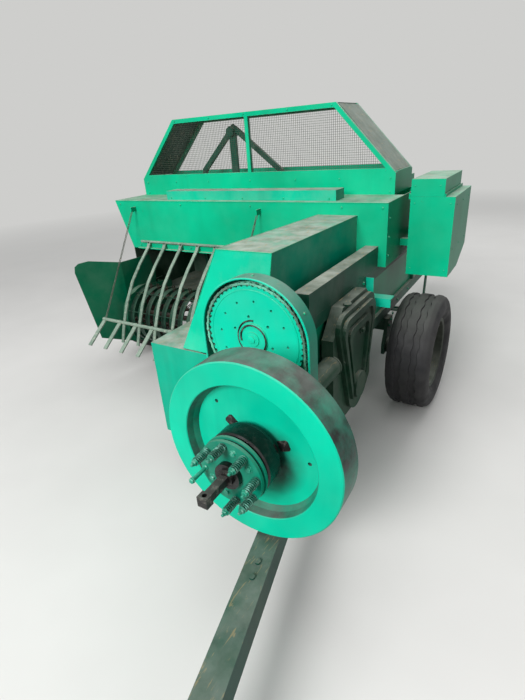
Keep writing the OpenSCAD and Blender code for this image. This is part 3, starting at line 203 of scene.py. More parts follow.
def paint(name, base, dark, dust_and_sheen=0.6, grime=0.12, rust=0.2, rough=0.36, chaff=0.4, side=0.0, wall_shade=0.0,
          wall=(GRIME, GRIME), dark_ring=None, film=0.14):
    """Old enamel: clean fronts, dusty tops lightened by a painted sky sheen, chaff on top, chips and rust.

    side darkens the faces towards the machine's left with painted shade, the wall weight paints shade
    on the faces along the axles, recess sides and rims (in the two tones of wall), and the dark ring is a
    dark patch: x, z, inner and outer radius in the row frame."""
    t = Tree(name)
    tone = t.ramp(t.noise(1.4, 4), (0.36, 0.0), (0.66, 1.0))
    col = t.mix(tone, dark, base)
    streak = t.noise(7, 6, 0.6, squash=(1, 1, 0.12))
    col = t.mix(t.math("MULTIPLY", t.ramp(streak, (0.52, 0.0), (0.76, 1.0)), grime), col, GRIME)
    # Painted shade: faces towards the machine's left (+x) are darkened towards a third of the dark tone, as
    # if out of the light
    side_shade = tuple(c * 0.30 for c in dark[:3]) + (1.0,)
    if side:
        shade_patch = t.math("MULTIPLY", t.facing(0, 0.25, 0.8), t.ramp(t.noise(4, 6), (0.25, 0.75), (0.7, 1.0)))
        col = t.mix(t.math("MULTIPLY", shade_patch, side), col, side_shade)
    # Painted shade on the faces along the axles: recess sides and rims take the two wall tones
    if wall_shade:
        flat = t.math("ABSOLUTE", t.facing_raw(1))
        shade_patch = t.ramp(t.noise(6, 7, 0.65), (0.3, 0.55), (0.6, 1.0))
        edge = t.math("MULTIPLY", t.span(flat, 0.75, 0.35), shade_patch)
        shade_patch = t.mix(t.ramp(t.noise(9, 6), (0.4, 0.0), (0.65, 1.0)), *wall)
        col = t.mix(t.math("MULTIPLY", edge, wall_shade), col, shade_patch)
    # A dark patch round a point in the row frame, broken up by noise
    if dark_ring:
        spot = t.math("SUBTRACT", 1.0, t.radius(*dark_ring))
        spot = t.math("MULTIPLY", spot, t.ramp(t.noise(7, 5, 0.55), (0.3, 0.5), (0.6, 1.0)))
        col = t.mix(spot, col, srgb(16, 24, 22))
    haze = t.math("MULTIPLY", t.ramp(t.noise(4.5, 7, 0.62), (0.42, 0.0), (0.70, 1.0)), film)
    col = t.mix(haze, col, DUST_AND_SHEEN)
    # Upward faces: dusty, with a painted sky sheen
    top = t.math("MULTIPLY", t.up(), t.ramp(t.noise(7, 8, 0.65), (0.28, 0.45), (0.55, 1.0)))
    top = t.math("MULTIPLY", top, dust_and_sheen)
    top_dust_and_sheen = t.mix(t.ramp(t.noise(11, 6, 0.6), (0.35, 0.0), (0.65, 1.0)), srgb(134, 140, 126), DUST_AND_SHEEN)
    col = t.mix(top, col, top_dust_and_sheen)
    straw = t.ramp(t.noise(85, 3, 0.5, squash=(1.0, 0.18, 1.0), distort=1.2), (0.60, 0.0), (0.68, 1.0))
    straw = t.math("MULTIPLY", t.math("MULTIPLY", straw, t.up()), chaff)
    col = t.mix(straw, col, CHAFF)
    spots = t.ramp(t.noise(26, 7, 0.7), (0.66, 0.0), (0.70, 1.0))
    patch = t.ramp(t.noise(3.1, 3), (0.48, 0.0), (0.62, 1.0))
    chips = t.math("MULTIPLY", t.math("MULTIPLY", spots, patch), rust * 2.2, clamp=True)
    rusty = t.mix(t.noise(60, 4), RUST_DARK, RUST)
    col = t.mix(chips, col, rusty)
    r = t.math("ADD", t.math("MULTIPLY", top, 0.45), rough)
    r = t.math("ADD", r, t.math("MULTIPLY", haze, 0.8))
    r = t.math("ADD", r, t.math("MULTIPLY", chips, 0.4), clamp=True)
    h = t.math("SUBTRACT", t.math("MULTIPLY", t.noise(6, 3), 0.8), t.math("MULTIPLY", chips, 0.35))
    h = t.math("ADD", h, t.math("MULTIPLY", t.noise(220, 2), 0.05))
    t.bump(h, 0.35, 0.003)
    return t.set(Base_Color=col, Roughness=r, Specular_IOR_Level=0.14)


def metal(name, a, b, c, rough=0.5, metallic=0.5, dust_and_sheen=0.4, fine=45):
    """Bare, rusty or greasy metal in three mixed tones, dusty on top with a painted sky sheen."""
    t = Tree(name)
    col = t.mix(t.ramp(t.noise(7, 6, 0.6), (0.38, 0.0), (0.62, 1.0)), a, b)
    col = t.mix(t.ramp(t.noise(fine, 6, 0.7), (0.52, 0.0), (0.66, 1.0)), col, c)
    # Upward faces: dusty, with a painted sky sheen
    top = t.math("MULTIPLY", t.up(), t.ramp(t.noise(9, 7, 0.6), (0.3, 0.3), (0.62, 1.0)))
    top = t.math("MULTIPLY", top, dust_and_sheen)
    col = t.mix(top, col, DUST_AND_SHEEN)
    r = t.ramp(t.noise(20, 4), (0.3, rough - 0.1), (0.7, rough + 0.15))
    r = t.math("ADD", r, t.math("MULTIPLY", top, 0.3), clamp=True)
    t.bump(t.noise(130, 5, 0.65), 0.35, 0.0015)
    return t.set(Base_Color=col, Roughness=r, Metallic=metallic)


def rubber(name, base, dust_and_sheen=0.35):
    """Old tyre rubber, dried in patches, dusty on top with a painted sky sheen."""
    t = Tree(name)
    col = t.mix(t.ramp(t.noise(6, 6), (0.35, 0.0), (0.7, 1.0)), base, srgb(27, 28, 32))
    dry = t.math("MULTIPLY", t.ramp(t.noise(4, 6, 0.65), (0.40, 0.0), (0.66, 1.0)), dust_and_sheen)
    col = t.mix(dry, col, srgb(108, 106, 102))
    # Upward faces: dusty, with a painted sky sheen
    top = t.math("MULTIPLY", t.up(0.5, 0.95), dust_and_sheen)
    col = t.mix(top, col, DUST_AND_SHEEN)
    h = t.math("ADD", t.noise(90, 4), t.math("MULTIPLY", t.noise(260, 2), 0.5))
    t.bump(h, 0.3, 0.0012)
    return t.set(Base_Color=col, Roughness=t.ramp(t.noise(14, 4), (0.3, 0.62), (0.7, 0.9)))


# A dark patch round the clutch on the flywheel's web, its centre set off towards the lower right
CLUTCH_DARK_RING = (P(*FLY).x + 0.05, P(*FLY).z - 0.035, 0.07, 0.15)   # round the clutch, on the flywheel's web

M = {
    "green": paint("green_enamel", srgb(0, 202, 152), srgb(0, 172, 126), dust_and_sheen=0.75, side=0.8, film=0.03),
    "green_clean": paint("green_enamel_clean", srgb(0, 220, 182), srgb(0, 190, 156), dust_and_sheen=0.3, grime=0.08,
                         rust=0.15, chaff=0.1, film=0.05),
    # The flywheel's recess sides and rims carry painted shade in two dark greys
    "flywheel": paint("flywheel_enamel", srgb(0, 212, 172), srgb(0, 178, 144), dust_and_sheen=0.2, grime=0.15,
                      rust=0.1, chaff=0.05, film=0.03, wall_shade=1.0,
                      wall=(srgb(22, 34, 31), srgb(72, 80, 78)), dark_ring=CLUTCH_DARK_RING),
    # The chain guard's band carries painted shade in two dark greens, and its left side a little
    "chain_guard": paint("chain_guard_enamel", srgb(0, 190, 156), srgb(0, 150, 122), dust_and_sheen=0.3, grime=0.15,
                         rust=0.15, chaff=0.1, side=0.3, wall_shade=0.8,
                         wall=(srgb(2, 120, 96), srgb(52, 104, 92)), film=0.06),
    # The hood and step box: heavily dusty tops with painted sky sheen
    "green_dust_and_sheen": paint("green_enamel_dust_and_sheen", srgb(0, 206, 164), srgb(0, 176, 140), dust_and_sheen=0.9, grime=0.15,
                         rust=0.3, chaff=0.5, side=0.9, film=0.14),
    "shaded": paint("green_enamel_shaded", srgb(0, 184, 150), srgb(0, 154, 124), dust_and_sheen=0.9, grime=0.2,
                    rust=0.3, chaff=0.5, side=0.9, film=0.05),
    # A shaded copy of the green: painted shade on the axle beam, drawbar bracket, rails, guard sides, forks
    # and yoke
    "green_painted_shade": paint("green_enamel_painted_shade", srgb(22, 92, 72), srgb(18, 62, 48), dust_and_sheen=0.8, grime=0.5,
                        rust=0.3, rough=0.42, chaff=0.5, film=0.12),
    "shield": paint("shield_green", srgb(0, 104, 72), srgb(0, 84, 58), dust_and_sheen=0.3, grime=0.3, rust=0.2,
                    rough=0.4, chaff=0.2, film=0.06),
    "band": paint("band_green", srgb(10, 78, 56), srgb(8, 50, 38), dust_and_sheen=0.1, grime=0.35, rust=0.2,
                  rough=0.3, chaff=0.3, film=0.08),
    "tongue": paint("tongue_green", srgb(12, 82, 66), srgb(10, 52, 42), dust_and_sheen=0.3, grime=0.5, rust=0.4,
                    chaff=0.4, film=0.15),
    # Darkened to a shaded green: painted shade on the gearcase, its cover and the feed table
    "casting": paint("casting_green_painted_shade", srgb(34, 74, 54), srgb(20, 46, 34), dust_and_sheen=0.4, grime=0.55, rust=0.25,
                     rough=0.42, chaff=0.6, film=0.16),
    "plate": paint("plate_green", srgb(6, 160, 128), srgb(6, 110, 88), dust_and_sheen=0.2, grime=0.45, rust=0.2,
                   chaff=0.1, film=0.1),
    "steel": metal("worn_steel", srgb(128, 134, 122), srgb(96, 104, 92), srgb(74, 92, 76), 0.45, 0.55),
    "rod": metal("painted_rod", srgb(136, 158, 142), srgb(104, 130, 114), srgb(164, 174, 158),
                 0.42, 0.15, dust_and_sheen=0.15),
    "wire": metal("mesh_wire", srgb(70, 84, 72), srgb(50, 62, 54), srgb(104, 104, 88), 0.5, 0.3, dust_and_sheen=0.2),
    "rust": metal("light_rust", srgb(56, 42, 32), srgb(40, 30, 24), srgb(84, 60, 42), 0.7, 0.15, dust_and_sheen=0.15),
    "stub": metal("rusty_shaft", srgb(34, 33, 31), srgb(22, 22, 23), srgb(104, 100, 94),
                  0.42, 0.4, dust_and_sheen=0.15),
    "iron": metal("greasy_iron", srgb(7, 8, 8), srgb(14, 15, 15), srgb(40, 38, 36), 0.28, 0.2, dust_and_sheen=0.0),
    # The third, light tone is a painted highlight, scattered in flecks
    "spring": metal("spring_green_painted_highlight", srgb(20, 156, 126), srgb(12, 112, 90), srgb(130, 186, 168),
                    0.3, 0.1, dust_and_sheen=0.1),
    # A darker copy of the spring paint for the coils in shade (painted shade), with painted highlight flecks
    "coil": metal("coil_green_shade_and_highlight", srgb(16, 112, 90), srgb(8, 66, 52), srgb(120, 186, 168),
                  0.22, 0.1, dust_and_sheen=0.05),
    # Lightened far past the chain's paint: painted light on the drive chain, which sits in the guard's shade
    "chain": metal("chain_green_painted_light", srgb(112, 206, 176), srgb(84, 132, 114), srgb(112, 96, 90),
                   0.36, 0.15, dust_and_sheen=0.15),
    "links": metal("guard_chain", srgb(92, 104, 92), srgb(60, 64, 56), srgb(112, 92, 80),
                   0.42, 0.3, dust_and_sheen=0.15),
    "rubber": rubber("old_rubber", srgb(17, 18, 21), dust_and_sheen=0.12),
    "rim": paint("rim_paint", srgb(60, 72, 62), srgb(44, 48, 42), dust_and_sheen=0.5, grime=0.5, rust=0.4, rough=0.5),
}

# Each look's slot in the record, and the CAD nodes that wear it
LOOK = {
    "green": ("paint_green", "bale_case feeder_housing guard_base guard_frame twine_box twine_lid "
                             "knotter_frame bale_chute tension_rails"),
    "green_clean": ("paint_green", "drive_disc step_tab"),
    "flywheel": ("paint_green", "flywheel"),
    "chain_guard": ("paint_green", "chain_guard"),
    "green_dust_and_sheen": ("paint_green", "step_box hood"),
    "shaded": ("paint_green", "front_shield"),
    "green_painted_shade": ("paint_dark_green", "axle_beam drawbar_bracket case_rails guard_sides feeder_forks "
                                       "needle_yoke"),
    "shield": ("paint_green", "pickup_frame"),
    "band": ("paint_dark_green", "stripper_bands"),
    "tongue": ("paint_dark_green", "tongue"),
    "casting": ("paint_dark_green", "gearcase gearcase_cover feed_table"),
    "plate": ("paint_green", "clutch_plates"),
    "steel": ("bare_steel", "plunger_head knotter_shaft jack"),
    "rod": ("bare_steel", "feed_rods windguard"),
    "wire": ("bare_steel", "guard_mesh"),
    "rust": ("rusty_steel", "pickup_reel"),
    "chain": ("rusty_steel", "drive_chain"),
    "links": ("rusty_steel", "windguard_chains"),
    "stub": ("bare_steel", "drive_stub"),
    "iron": ("black_iron", "clutch"),
    "spring": ("paint_dark_green", "clutch_springs"),
    "coil": ("paint_dark_green", ""),
    "rubber": ("tyre_rubber", "tyre_left tyre_right"),
    "rim": ("rim_paint", "rim_left rim_right"),
}
for look, (_, names) in LOOK.items():
    for name in names.split():
        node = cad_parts[name]
        node.data.materials.clear()
        node.data.materials.append(M[look])


# Camera and studio

YAW, PITCH, ROLL = 33.15, 25.44, -4.38        # degrees, solved from the photograph's straight edges
EYE = P(1020, -2600, 1600)
FOCAL_PX, IMAGE_PX, SENSOR_MM = 449.0, 700, 36
BACKDROP = srgb(206, 206, 204)
FLOOR_HALF = 60
FADE_FROM, FADE_TO = 3.0, 11.0                # metres over which the floor passes into the backdrop


def camera():
    """The photograph's own perspective."""
    yaw, pitch, roll = math.radians(YAW), math.radians(PITCH), math.radians(ROLL)
    f = Vector((-math.sin(yaw) * math.cos(pitch), math.cos(yaw) * math.cos(pitch), -math.sin(pitch)))
    r = Vector((math.cos(yaw), math.sin(yaw), 0))
    u = r.cross(f)
    r2 = math.cos(roll) * r + math.sin(roll) * u
    u2 = -math.sin(roll) * r + math.cos(roll) * u
    cam = bpy.data.cameras.new("photo_camera")
    cam.sensor_fit = "VERTICAL"
    cam.sensor_height = SENSOR_MM
    cam.lens = FOCAL_PX / IMAGE_PX * SENSOR_MM
    cam.clip_start = 0.02
    ob = bpy.data.objects.new("photo_camera", cam)
    bpy.context.scene.collection.objects.link(ob)
    m = Matrix((r2, u2, -f)).transposed().to_4x4()
    m.translation = EYE
    ob.matrix_world = m
    bpy.context.scene.camera = ob


def stage():
    """Pale floor that fades into the backdrop, the world and four soft lamps."""
    t = Tree("pale_floor")
    n = t.noise(1.2, 3)
    path = t.nt.nodes.new("ShaderNodeLightPath")
    seen = t.math("MAXIMUM", path.outputs["Is Camera Ray"], path.outputs["Is Glossy Ray"])
    seen = t.math("MAXIMUM", seen, path.outputs["Is Transmission Ray"])
    pale = t.mix(t.ramp(n, (0.3, 0.0), (0.7, 1.0)), srgb(214, 213, 210), srgb(220, 219, 216))
    mat = t.set(Base_Color=t.mix(seen, srgb(120, 112, 100), pale), Roughness=0.95, Specular_IOR_Level=0.1)
    far = t.nt.nodes.new("ShaderNodeVectorMath")
    far.operation = "LENGTH"
    t.link(t.co, far.inputs[0])
    glow = t.nt.nodes.new("ShaderNodeEmission")
    glow.inputs[0].default_value = BACKDROP
    blend = t.nt.nodes.new("ShaderNodeMixShader")
    t.link(t.math("MULTIPLY", seen, t.span(far.outputs["Value"], FADE_FROM, FADE_TO)), blend.inputs[0])
    t.link(t.bsdf.outputs[0], blend.inputs[1])
    t.link(glow.outputs[0], blend.inputs[2])
    t.link(blend.outputs[0], t.out.inputs[0])
    s = FLOOR_HALF
    me = bpy.data.meshes.new("floor")
    me.from_pydata([(-s, -s, 0), (s, -s, 0), (s, s, 0), (-s, s, 0)], [], [(0, 1, 2, 3)])
    me.materials.append(mat)
    floor = bpy.data.objects.new("floor", me)
    bpy.context.scene.collection.objects.link(floor)
    w = bpy.data.worlds.new("studio")
    w.use_nodes = True
    nt = w.node_tree
    bg = nt.nodes["Background"]
    bg.inputs[0].default_value = (0.95, 0.97, 1.0, 1)
    bg.inputs[1].default_value = 0.33
    seen = nt.nodes.new("ShaderNodeBackground")
    seen.inputs[0].default_value = BACKDROP
    path = nt.nodes.new("ShaderNodeLightPath")
    pick = nt.nodes.new("ShaderNodeMixShader")
    both = path.outputs["Is Camera Ray"]
    for name in ("Is Glossy Ray", "Is Transmission Ray"):
        m = nt.nodes.new("ShaderNodeMath")
        m.operation = "MAXIMUM"
        nt.links.new(both, m.inputs[0])
        nt.links.new(path.outputs[name], m.inputs[1])
        both = m.outputs[0]
    nt.links.new(both, pick.inputs[0])
    nt.links.new(bg.outputs[0], pick.inputs[1])
    nt.links.new(seen.outputs[0], pick.inputs[2])
    nt.links.new(pick.outputs[0], nt.nodes["World Output"].inputs[0])
    bpy.context.scene.world = w
    for name, at, to, size, power in (
            ("key", (0.4, -7.2, 4.2), (0, -0.6, 0.8), 2.6, 500),
            ("top", (-0.5, -1.5, 6.5), (0, -0.5, 0.8), 5.0, 150),
            ("fill", (5.5, -3.0, 3.0), (0, 0, 0.6), 4.0, 60),
            ("back", (1.0, 6.0, 4.5), (0, 0, 1.0), 4.0, 150)):
        la = bpy.data.lights.new(name, "AREA")
        la.size = size
        la.energy = power
        ob = bpy.data.objects.new(name, la)
        bpy.context.scene.collection.objects.link(ob)
        ob.location = at
        ob.rotation_euler = (Vector(to) - Vector(at)).to_track_quat("-Z", "Y").to_euler()
    bpy.context.scene.view_settings.view_transform = "Standard"


# Detail pieces, drawn in working-frame millimetres

def steps(count, first=0.0):
    """Equal angles round a full turn, in radians, from first in degrees."""
    return [math.radians(first + i * 360 / count) for i in range(count)]


def cross_axes(axis):
    a = Vector(axis).normalized()
    u = a.orthogonal().normalized()
    return a, u, a.cross(u)


class Kit:
    """Collects small closed shapes into one mesh."""

    def __init__(self):
        self.v = []
        self.f = []

    def add(self, verts, faces):
        n = len(self.v)
        self.v += [Vector(v) for v in verts]
        self.f += [tuple(i + n for i in f) for f in faces]

    def lathe(self, c, axis, profile, n=24, phase=0.0, close=True):
        """Turns (radius, height) points about axis; radius 0 makes a pole."""
        a, u, w = cross_axes(axis)
        c = Vector(c)
        verts, rows = [], []
        for r, h in profile:
            if r <= 1e-6:
                rows.append([len(verts)])
                verts.append(c + a * h)
            else:
                rows.append(list(range(len(verts), len(verts) + n)))
                for i in range(n):
                    t = 2 * math.pi * i / n + phase
                    verts.append(c + a * h + (u * math.cos(t) + w * math.sin(t)) * r)
        faces = []
        pairs = list(zip(rows, rows[1:]))
        if close:
            pairs.append((rows[-1], rows[0]))
        for p, q in pairs:
            if len(p) == 1 and len(q) == 1:
                continue
            for i in range(n):
                j = (i + 1) % n
                if len(p) == 1:
                    faces.append((p[0], q[i], q[j]))
                elif len(q) == 1:
                    faces.append((p[i], q[0], p[j]))
                else:
                    faces.append((p[i], q[i], q[j], p[j]))
        self.add(verts, faces)

    def disc(self, c, axis, r, h, n=24, b=0.0):
        """A round plate on c, with its edges broken by b."""
        b = min(b, h / 2.01, r / 2)
        prof = [(0, 0), (r, 0), (r, h), (0, h)]
        if b:
            prof = [(0, 0), (r - b, 0), (r, b), (r, h - b), (r - b, h), (0, h)]
        self.lathe(c, axis, prof, n, close=False)

    def ring(self, c, axis, r, t, n=32, m=8):
        """A rod of radius t bent to a circle of radius r."""
        prof = [(r + t * math.cos(2 * math.pi * k / m), t * math.sin(2 * math.pi * k / m)) for k in range(m)]
        self.lathe(c, axis, prof, n)

    def bolt(self, c, axis, r=6.0, head=None, washer=True):
        """A hexagon head, turned by its place so that no two look alike."""
        a = Vector(axis).normalized()
        c = Vector(c)
        if washer:
            self.disc(c - a * 0.4, a, r * 1.35, 1.6, 18, 0.4)
            c = c + a * 1.2
        h = head or r * 0.75
        turn = (c.x * 0.37 + c.y * 0.21 + c.z * 0.13) % 1.0
        self.lathe(c, a, [(0, 0), (r, 0), (r, h * 0.8), (r * 0.84, h), (0, h)], 6, turn, close=False)

    def rivet(self, c, axis, r=4.0):
        """A round head, sunk 0.3 mm into its plate."""
        prof = [(0, 0), (r, 0), (r * 0.92, r * 0.3), (r * 0.6, r * 0.55), (0, r * 0.65)]
        self.lathe(Vector(c) - Vector(axis).normalized() * 0.3, axis, prof, 12, close=False)

    def box(self, lo, hi):
        x0, y0, z0 = lo
        x1, y1, z1 = hi
        verts = [(x, y, z) for z in (z0, z1) for x, y in ((x0, y0), (x1, y0), (x1, y1), (x0, y1))]
        self.add(verts, [(0, 3, 2, 1), (4, 5, 6, 7), (0, 1, 5, 4), (1, 2, 6, 5), (2, 3, 7, 6), (3, 0, 4, 7)])

    def prism(self, outline, origin, u, w, axis, t):
        """A flat plate: outline in (u, w), thickness t along axis."""
        o, u, w, a = Vector(origin), Vector(u), Vector(w), Vector(axis)
        n = len(outline)
        verts = [o + u * p[0] + w * p[1] for p in outline]
        verts += [o + u * p[0] + w * p[1] + a * t for p in outline]
        faces = [tuple(range(n - 1, -1, -1)), tuple(range(n, 2 * n))]
        faces += [(i, (i + 1) % n, (i + 1) % n + n, i + n) for i in range(n)]
        self.add(verts, faces)

    def sweep(self, pts, r, n=8, closed=False):
        """A rod of radius r along points."""
        pts = [Vector(p) for p in pts]
        m = len(pts)
        ref = None
        rows = []
        for i, p in enumerate(pts):
            if closed:
                d = (pts[(i + 1) % m] - pts[i - 1]).normalized()
            else:
                d = (pts[min(i + 1, m - 1)] - pts[max(i - 1, 0)]).normalized()
            if ref is None:
                ref = d.orthogonal().normalized()
            ref = (ref - d * ref.dot(d)).normalized()
            side = d.cross(ref)
            turn = [2 * math.pi * k / n for k in range(n)]
            rows.append([p + ref * (r * math.cos(t)) + side * (r * math.sin(t)) for t in turn])
        verts = [v for row in rows for v in row]
        faces = []
        for i in range(m if closed else m - 1):
            for k in range(n):
                a, b = i * n, ((i + 1) % m) * n
                faces.append((a + k, b + k, b + (k + 1) % n, a + (k + 1) % n))
        if not closed:
            faces += [tuple(range(n - 1, -1, -1)), tuple(range((m - 1) * n, m * n))]
        self.add(verts, faces)

    def done(self, name, look, body, angle=35, replaces=()):
        """Makes the piece: edges sharper than angle stay sharp, and it rides on body."""
        me = bpy.data.meshes.new(name)
        me.from_pydata([tuple(P(*v)) for v in self.v], [], self.f)
        bm = bmesh.new()
        bm.from_mesh(me)
        bmesh.ops.recalc_face_normals(bm, faces=bm.faces)
        lim = math.radians(angle)
        for f in bm.faces:
            f.smooth = True
        for e in bm.edges:
            e.smooth = len(e.link_faces) == 2 and e.calc_face_angle(0) < lim
        bm.to_mesh(me)
        bm.free()
        me.materials.append(M[look])
        ob = bpy.data.objects.new(name, me)
        bpy.context.scene.collection.objects.link(ob)
        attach(ob, body)
        if replaces:
            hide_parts(*replaces)


def clutch_springs():
    """Seven coil springs with nuts and the one plain sleeve, on the pressure plate."""
    k, coils, studs = Kit(), Kit(), Kit()
    plate_y, bolt_r, rivet_r = FLY.y - 98, 101, 87
    turns, coil_r, wire_r, per_turn = 7.5, 12.4, 2.2, 16
    for i in range(8):
        a = math.radians(8 + i * 45)
        c = Vector((FLY.x + bolt_r * math.cos(a), plate_y, FLY.z + bolt_r * math.sin(a)))
        if i == 4:
            k.disc(c, FRONT, 7, 70, 20, 1)
            k.disc(c, FRONT, 10.5, 5, 20, 1)
            k.disc(c + FRONT * 66, FRONT, 10.5, 4, 20, 1)
            k.bolt(c + FRONT * 70, FRONT, 10, 7, washer=False)
        else:
            pts = []
            for s in range(int(turns * per_turn) + 1):
                t = s / per_turn * 2 * math.pi
                ends = min(1, s / per_turn) * 0.5 + min(1, (turns * per_turn - s) / per_turn) * 0.5
                h = (2.5 + 57 * s / (turns * per_turn)) * (0.985 + 0.015 * ends)
                pts.append(c + FRONT * h + Vector((math.cos(t) * coil_r, 0, math.sin(t) * coil_r)))
            coils.sweep(pts, wire_r, 8)
            studs.disc(c, FRONT, 6, 62, 12)
            k.disc(c + FRONT * 62, FRONT, 12.8, 3, 20, 0.6)
            k.bolt(c + FRONT * 65, FRONT, 10, 8, washer=False)
            k.disc(c + FRONT * 73, FRONT, 5, 10, 14, 1)
        b = a + math.radians(22.5)
        k.bolt(Vector((FLY.x + rivet_r * math.cos(b), plate_y, FLY.z + rivet_r * math.sin(b))), FRONT, 9.5, 7)
    k.done("clutch_spring_set", "spring", "flywheel_unit", replaces=["clutch_springs"])
    coils.done("clutch_coils", "coil", "flywheel_unit")
    studs.done("clutch_studs", "iron", "flywheel_unit")


def chain_path():
    """The loop round both sprockets: a point for a length along it, and its whole length."""
    gap = math.hypot(FLY.x - DISC.x, FLY.z - DISC.z)
    r1, r2 = 218.0, 54.0                          # pitch radii
    d = math.atan2(FLY.z - DISC.z, FLY.x - DISC.x)
    wrap = math.acos((r1 - r2) / gap)
    a0, a1 = d + wrap, d - wrap
    big, small = r1 * (2 * math.pi - 2 * wrap), r2 * 2 * wrap
    run = math.sqrt(gap ** 2 - (r1 - r2) ** 2)

    def on(c, r, a):
        return Vector((c.x + r * math.cos(a), DISC.y, c.z + r * math.sin(a)))

    def at(s):
        if s < big:
            return on(DISC, r1, a0 + s / r1)
        if s < big + run:
            return on(DISC, r1, a1).lerp(on(FLY, r2, a1), (s - big) / run)
        if s < big + run + small:
            return on(FLY, r2, a1 + (s - big - run) / r2)
        return on(FLY, r2, a0).lerp(on(DISC, r1, a0), (s - big - run - small) / run)
    return at, big + small + 2 * run


def drive_chain():
    """Sixty links, narrow and wide by turns, each with its roller and pin."""
    at, total = chain_path()
    n, end_r, waist, along = 60, 5.4, 3.6, Vector((0, 1, 0))
    half_turn = [math.pi * j / 6 for j in range(7)]
    k = Kit()
    for i in range(n):
        p, q = at(i * total / n % total), at((i + 1) * total / n % total)
        u = (q - p).normalized()
        w = Vector((-u.z, 0, u.x))
        length = (q - p).length
        off = 7.5 if i % 2 == 0 else 10
        outline = [(-end_r * math.sin(t), end_r * math.cos(t)) for t in half_turn]
        outline += [(length / 2, -waist)]
        outline += [(length + end_r * math.sin(t), -end_r * math.cos(t)) for t in half_turn]
        outline += [(length / 2, waist)]
        for y in (-off - 2, off):
            k.prism(outline, p + along * y, u, w, along, 2)
        k.disc(p - along * 7.4, along, 4.6, 14.8, 14)
        k.disc(p - along * 13.2, along, 2.2, 26.4, 10)
    k.done("roller_chain", "chain", "chassis", replaces=["drive_chain"])


def fine_mesh():
    """Half inch wire cloth in the guard's two panes."""
    x0, x1, z0, z1 = -1730, 240, 1360, 1745       # the frame's outline at its foot, and its height
    run_l, run_r = 370 / 385, 364 / 385           # how far its ends lean in for each mm up
    bar = 24.0
    side_l, side_r = bar * math.sqrt(1 + run_l ** 2), bar * math.sqrt(1 + run_r ** 2)
    mid = (x0 + 370 + x1 - 364) / 2

    def left(z):
        return x0 + (z - z0) * run_l + side_l

    def right(z):
        return x1 - (z - z0) * run_r - side_r
    k = Kit()
    y, r, step = 119.0, 1.1, 13.0
    za, zb = z0 + bar, z1 - bar
    x = x0
    while x < x1:
        x += step
        if abs(x - mid) < bar / 2:
            continue
        top = zb
        if x < left(zb):
            top = z0 + (x - x0 - side_l) / run_l
        if x > right(zb):
            top = z0 + (x1 - side_r - x) / run_r
        if top - za > 6:
            k.sweep([(x, y, za), (x, y, top)], r, 4)
    z = za
    while z < zb - 6:
        z += step
        for a, b in ((left(z), mid - bar / 2), (mid + bar / 2, right(z))):
            k.sweep([(a, y + 2 * r, z), (b, y + 2 * r, z)], r, 4)
    k.done("wire_cloth", "wire", "chassis", replaces=["guard_mesh"])


def link(k, p, d, width_dir, length, wide, r):
    """One oval chain link from p along d."""
    d, s = Vector(d).normalized(), Vector(width_dir).normalized()
    c = Vector(p) + d * length / 2
    pts = []
    half, rad = (length - wide) / 2, wide / 2 - r
    for j in range(16):
        t = 2 * math.pi * j / 16
        o = half if math.cos(t) > 0 else -half
        pts.append(c + d * (o + math.cos(t) * rad) + s * (math.sin(t) * rad))
    k.sweep(pts, r, 6, closed=True)


def windguard_chains():
    """Two rows of links from the front panel's hooks down to the windguard's cross bar."""
    k = Kit()
    n, wire, wide, touch = 25, 2.2, 15, 13.2      # touch: from the cross bar's middle to the link's
    for x0, x1 in ((-1549, -1545), (-486, -492)):
        top = Vector((x0, PANEL_Y - 42, LID_Z + 270))
        low = Vector((x1, CROSS_Y + 0.83 * touch + 2, CROSS_Z - 0.56 * touch + 2))
        d = low - top
        for i in range(n):
            p = top + d * i / n
            side = LEFT if i % 2 == 0 else d.cross(LEFT)
            link(k, p - d.normalized() * wire, d, side, d.length / n + 2 * wire, wide, wire)
    k.done("guard_chain_links", "links", "chassis", replaces=["windguard_chains"])


def bolts():
    """Bolt heads and rivets of the fixed body."""
    k = Kit()
    for x in (-1700, -1120, -560, 40, 270):
        k.bolt((x, PANEL_Y, 1215), FRONT, 5.5)
    for x in (-1560, -1080, -600, -300):
        k.bolt((x, PANEL_Y, 925), FRONT, 5.5)
    for z in (960, 1060, 1160):
        k.bolt((HOUSE_X1, PANEL_Y + 30, z), LEFT, 5.5)
        k.bolt((HOUSE_X1, REAR_Y - 30, z), LEFT, 5.5)
    for x in (-1690, -1400, -1100, -745, -400, -100, 210):
        k.bolt((x, GUARD_Y, GUARD_Z + 32), FRONT, 5)
        k.bolt((x, GUARD_Y, TOP_Z + 14), FRONT, 5)
        k.bolt((x, REAR_Y, GUARD_Z), -FRONT, 5)
    for x in (-1340, -1040, -760, -440, -150):
        k.bolt((x, GUARD_Y, 1732), FRONT, 4.5)
    for x in (-1640, -1300, -900, -500, -100, 180):
        k.rivet((x, GUARD_Y, 1373), FRONT, 4.5)
    for x in range(-1235, 0, 295):
        k.bolt((x, PANEL_Y + 50, TOP_Z + 12), FRONT, 4.5)
    for y in (-1080, -700, -320, 250, 500, 1100, 1500):
        k.bolt((RAIL_X, y, 562), LEFT, 7)
    for y in (-420, 520, 800, 1100, 1400):
        k.bolt((RAIL_X, y, 872), LEFT, 7)
        if y > REAR_Y:
            k.bolt((-RAIL_X, y, 872), -LEFT, 7)
        if y > REAR_Y and y != 800:               # the needle arms sweep past there
            k.bolt((-RAIL_X, y, 562), -LEFT, 7)
    for z in (470, 500, 530):
        k.bolt((RAIL_X + 20, z - 450, z), LEFT, 8)
    k.done("body_bolts", "green", "chassis")


